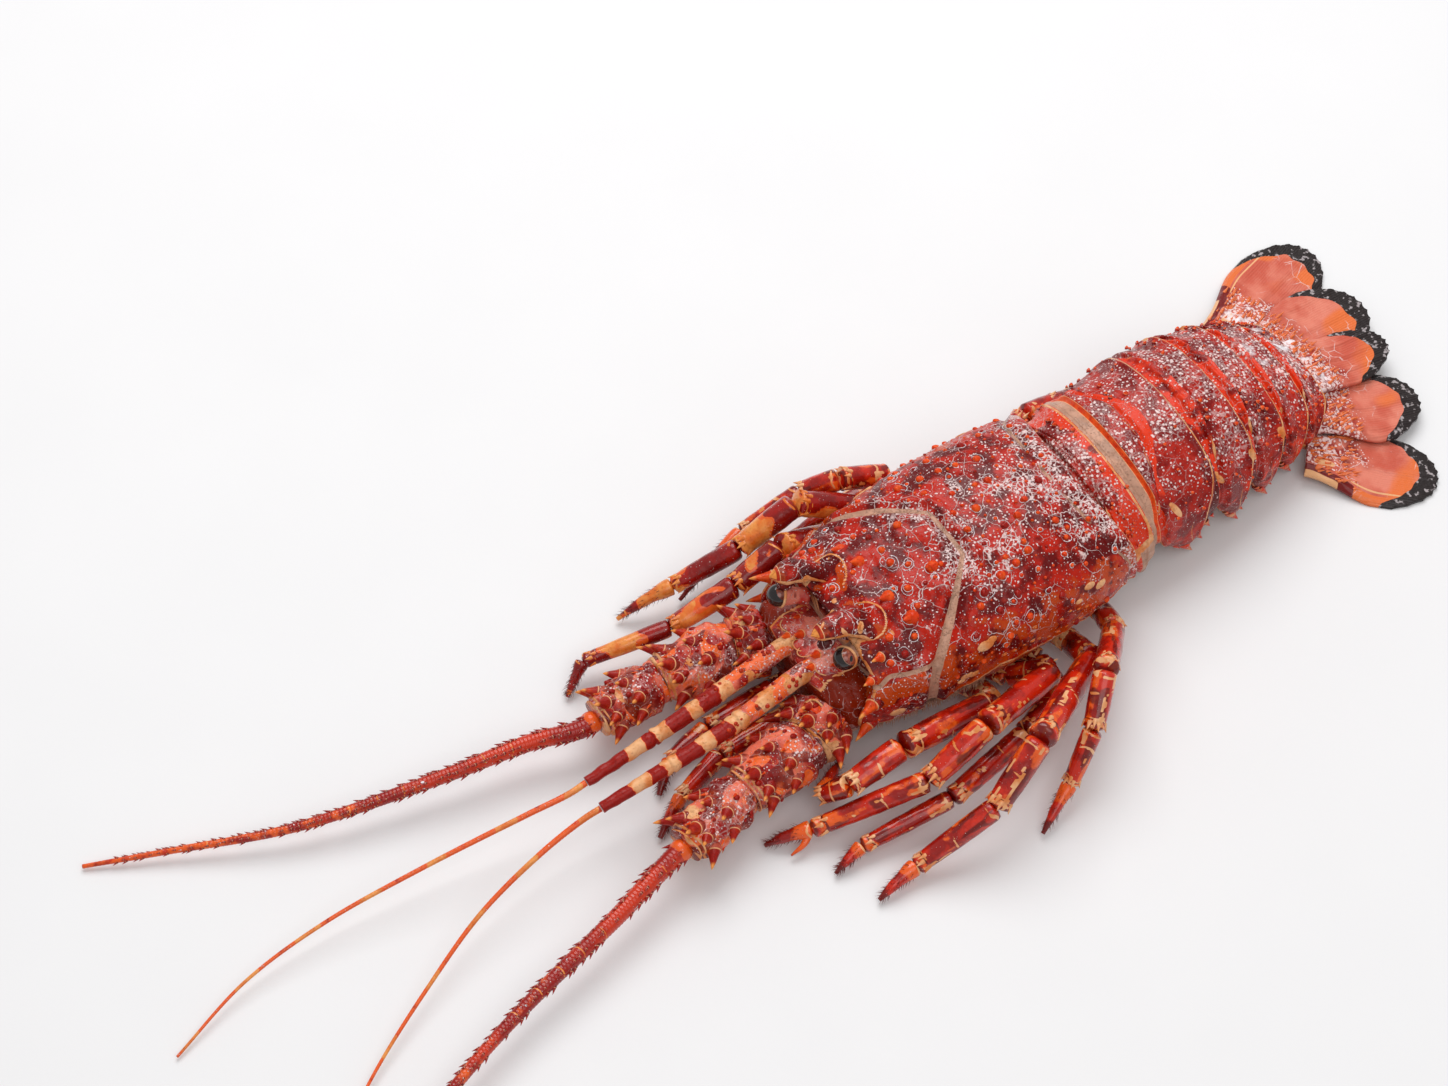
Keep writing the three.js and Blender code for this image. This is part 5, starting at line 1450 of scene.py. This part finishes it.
# Tail fan: the root and the tip of each lobe as (x, y, width, height), then its rays
TAIL = {
    "telson": ([-9, 151, 24, 14.6], [-5, 192, 22, 7.2], 4),
    "endopod_right": ([-24, 150, 16, 9], [-24, 198, 33, 3.6], 3),
    "endopod_left": ([6, 148, 16, 9], [18, 188, 28, 3.6], 3),
    "exopod_right": ([-38, 147, 18, 4], [-55, 200, 32, 0], 3),
    "exopod_left": ([16, 140, 18, 4], [47, 173, 29, 0], 3),
}


def fan_material():
    p = Paint("tail_fan")
    warp = p.warped(420, 0.0011)
    colour = p.mix(p.step(p.noise(80, 4, warp), 0.35, 0.65), (0.56, 0.10, 0.06), (0.72, 0.22, 0.15))
    warmth = p.stirred("orange", 60, 3, 0.8)
    colour = p.mix(p.step(warmth, 0.2, 0.8), colour, (0.74, 0.16, 0.04))
    hard = p.stirred("tip", 200, 4, 0.5)
    colour = p.mix(p.step(hard, 0.4, 0.6), colour, (0.17, 0.006, 0.005))
    base = p.stirred("frost", 70, 5, 1.5)
    ice = p.step(base, 0.15, 1.0)
    colour = p.mix(p.times(ice, p.step(p.noise(240, 4), 0.35, 0.6)), colour, (0.30, 0.012, 0.010))
    speck = p.minus(p.times(ice, 0.5), p.cells(930, "F1", p.warped(1300, 0.0005)))
    speck = p.step(speck, -0.1, 0.05)
    line = p.minus(1.0, p.step(p.cells(170, "DISTANCE_TO_EDGE", warp), 0.008, 0.03))
    net = p.step(p.add(p.noise(60, 3), p.times(ice, 0.3)), 0.55, 0.65)
    net = p.times(line, net)
    colour = p.mix(p.times(speck, 0.9), colour, FROST)
    colour = p.mix(p.times(net, 0.8), colour, FROST)
    cream = p.stirred("cream", 300, 3, 0.3)
    colour = p.mix(p.step(cream, 0.42, 0.55), colour, CREAM)
    dark = p.stirred("dark", 300, 4, 0.5)
    rim = p.step(dark, 0.45, 0.55)
    colour = p.mix(rim, colour, (0.018, 0.012, 0.012))
    flecks = p.times(p.step(p.noise(520, 5), 0.56, 0.64), rim)
    colour = p.mix(p.times(flecks, 0.85), colour, (0.45, 0.40, 0.41))
    powder = p.stirred("frost", 120, 8, 2.4)
    powder = p.step(powder, 1.0, 1.35)
    colour = p.mix(powder, colour, POWDER)
    rough = p.add(p.add(p.times(p.noise(500, 2), 0.3), 0.2), p.times(powder, 0.4))
    height = p.add(p.noise(600, 4), p.times(net, 0.3))
    height = p.add(height, p.times(powder, 0.8))
    return p.finish(colour, rough, height, bump=0.0005, coat=0.35)


FAN = fan_material()


def build_lobe(name, root, tip, rays, seed):
    """One lobe of the tail fan: a thin blade with rays, a scalloped end and small spines at its root."""
    rows, cols = 120, 156
    root, tip = np.array(root, float), np.array(tip, float)
    axis = np.array([tip[0] - root[0], tip[1] - root[1], 0])
    length = np.linalg.norm(axis)
    axis /= length
    across = np.array([-axis[1], axis[0], 0])
    u, v = np.meshgrid(np.linspace(0, 1, rows), np.linspace(-1, 1, cols), indexing="ij")
    rounding = 1 - 0.32 * np.abs(v) ** 2.5
    width = mix(root[2], tip[2], smooth(0, 0.6, u)) / 2
    reach = u * length * mix(1, rounding, u**2)
    reach = reach - 0.7 * np.abs(np.sin(v * 9.5 * math.pi / 2)) * smooth(0.85, 1, u)
    plan = root[:3] * [1, 1, 0] + axis * reach[..., None] + across * (v * width)[..., None]
    level = mix(root[3], tip[3], smooth(0, 0.62, u))
    edge = (1 - np.abs(v)) * width
    ray = np.maximum(0, np.cos(math.pi * rays * v)) ** 2 * 0.75 * (1 - u * 0.6)
    fine = 0.07 * np.cos(v * width * 2 * math.pi / 0.9 + 0.8 * wave(plan, 9, seed + 5)) * smooth(0.35, 0.6, u)
    thick = 1.9 * mix(1.6, 0.7, u) * np.sqrt(clamp01(edge / 1.6) * 0.85 + 0.15)
    top, low = plan.copy(), plan.copy()
    top[..., 2] = level + thick + ray + fine
    top[..., 2] += 0.35 * smooth(0.5, 0.2, u) * wave(top, 6, seed)
    low[..., 2] = level + 0.1 - 0.1 * smooth(0, 0.2, u)
    to_end = length * rounding - reach
    basal = smooth(0.62, 0.3, u + 0.08 * wave(plan, 12, seed + 2))
    outer = v if name.endswith("right") else -v
    tail_frost = 0.55 if name in ("telson", "endopod_right", "exopod_right") else 0.2
    warm = 0.75 * smooth(0.4, 0.75, u) * smooth(-0.3, 0.5, wave(plan, 20, seed + 6))
    marks = {
        "orange": warm + 0.35 * smooth(0.7, 0.9, u),
        "dark": smooth(7.6, 6.4, to_end + 0.8 * wave(plan, 7, seed + 1)) * smooth(0.62, 0.72, u),
        "frost": 0.85 * basal + tail_frost * smooth(0.34, 0.1, u) - 0.2,
        "cream": np.zeros_like(u),
        "tip": 0.5 * basal * smooth(0.0, 0.5, wave(plan, 13, seed + 7)),
    }
    if name.startswith("exopod"):
        # a hard outer edge: dark red with cream at the root, a thin pale line, a bright strip outside
        strip = (1 - outer) * width
        marks["cream"] += 1.0 * bell(strip - 3.4 - 1.5 * u, 0.5) * smooth(0.3, 0.4, u) * smooth(0.84, 0.8, u)
        marks["tip"] += 0.9 * smooth(3.6, 2.8, strip) * smooth(0.42, 0.36, u)
        marks["cream"] += 1.2 * smooth(1.5, 1.0, strip) * smooth(0.3, 0.2, u)
        marks["orange"] += 0.8 * smooth(3.4, 2.8, strip)
        marks["frost"] -= 0.8 * smooth(4.5, 3.0, strip)
        drop = np.hypot((u - 0.14) * length / 3.0, (outer - 0.35) * width / 1.3)
        marks["cream"] += 1.4 * clamp01(1.5 - drop)
    P = np.concatenate([top, low[:, ::-1]], 1)
    marks = {m: np.concatenate([a, a[:, ::-1]], 1).reshape(-1) for m, a in marks.items()}
    quads = grid_faces(rows, 2 * cols, around=True)
    k = np.arange(cols - 1)
    for end in (0, (rows - 1) * 2 * cols):
        strip = np.stack([end + k, end + k + 1, end + 2 * cols - 2 - k, end + 2 * cols - 1 - k], -1)
        quads = np.concatenate([quads, strip[:, ::-1] if end == 0 else strip])
    parts = [part(P, quads, **marks)]
    rnd = np.random.default_rng(seed)
    feet, size = [], []
    for _ in range(80):
        i, j = int(rnd.uniform(0.04, 0.4) * rows), int(rnd.uniform(0.06, 0.94) * cols)
        feet.append(top[i, j])
        size.append(rnd.uniform(0.5, 1.3))
    size = np.array(size)
    marks = {"top": 0.0, "orange": 1.0, "cream": 0.3}
    parts.append(studs(feet, UP, axis * 1.8, size * 1.6, size * 0.45, SPIKE, 8, **marks))
    return parts


for index, (name, (root, tip, rays)) in enumerate(TAIL.items()):
    piece(f"{name}_blade", build_lobe(name, root, tip, rays, 300 + index * 9), FAN, [name])

# Floor, light and camera


def floor_material():
    p = Paint("pale_floor")
    colour = p.mix(p.noise(14, 3), (0.775, 0.775, 0.785), (0.81, 0.81, 0.82))
    rough = p.add(p.times(p.noise(90, 3), 0.1), 0.5)
    return p.finish(colour, rough, p.noise(500, 3), strength=0.05, coat=0.0)


mesh = bpy.data.meshes.new("floor")
mesh.from_pydata([(-4, -4, 0), (4, -4, 0), (4, 4, 0), (-4, 4, 0)], [], [(0, 1, 2, 3)])
mesh.materials.append(floor_material())
floor = bpy.data.objects.new("floor", mesh)
bpy.context.scene.collection.objects.link(floor)

world = bpy.data.worlds.new("studio")
world.use_nodes = True
backdrop = world.node_tree.nodes["Background"]
backdrop.inputs["Color"].default_value = (1.0, 0.98, 0.97, 1)
backdrop.inputs["Strength"].default_value = 0.52
bpy.context.scene.world = world


def aim(obj, place, target):
    """Put a light or the camera at a place, turned toward a target, and link it."""
    obj.location = place
    obj.rotation_euler = (Vector(target) - Vector(place)).to_track_quat("-Z", "Y").to_euler()
    bpy.context.scene.collection.objects.link(obj)


def area_light(name, place, size, power):
    data = bpy.data.lights.new(name, "AREA")
    data.shape = "DISK"
    data.size = size
    data.energy = power
    aim(bpy.data.objects.new(name, data), place, (0, 0, 0))


area_light("key", (-0.75, 0.35, 1.35), 1.3, 17)
area_light("fill", (0.9, -0.2, 1.5), 1.3, 7)

# The photo is 1448 pixels wide, and its camera is taken to have a focal length of 3000 pixels
PHOTO_WIDTH = 1448
FOCAL_LENGTH = 3000
SENSOR_WIDTH = 36
data = bpy.data.cameras.new("camera")
data.sensor_width = SENSOR_WIDTH
data.lens = SENSOR_WIDTH * FOCAL_LENGTH / PHOTO_WIDTH
camera = bpy.data.objects.new("camera", data)
aim(camera, (0.4038, -0.3489, 0.8290), (-0.0641, -0.0427, 0.0))
bpy.context.scene.camera = camera
bpy.context.scene.view_settings.view_transform = "Standard"
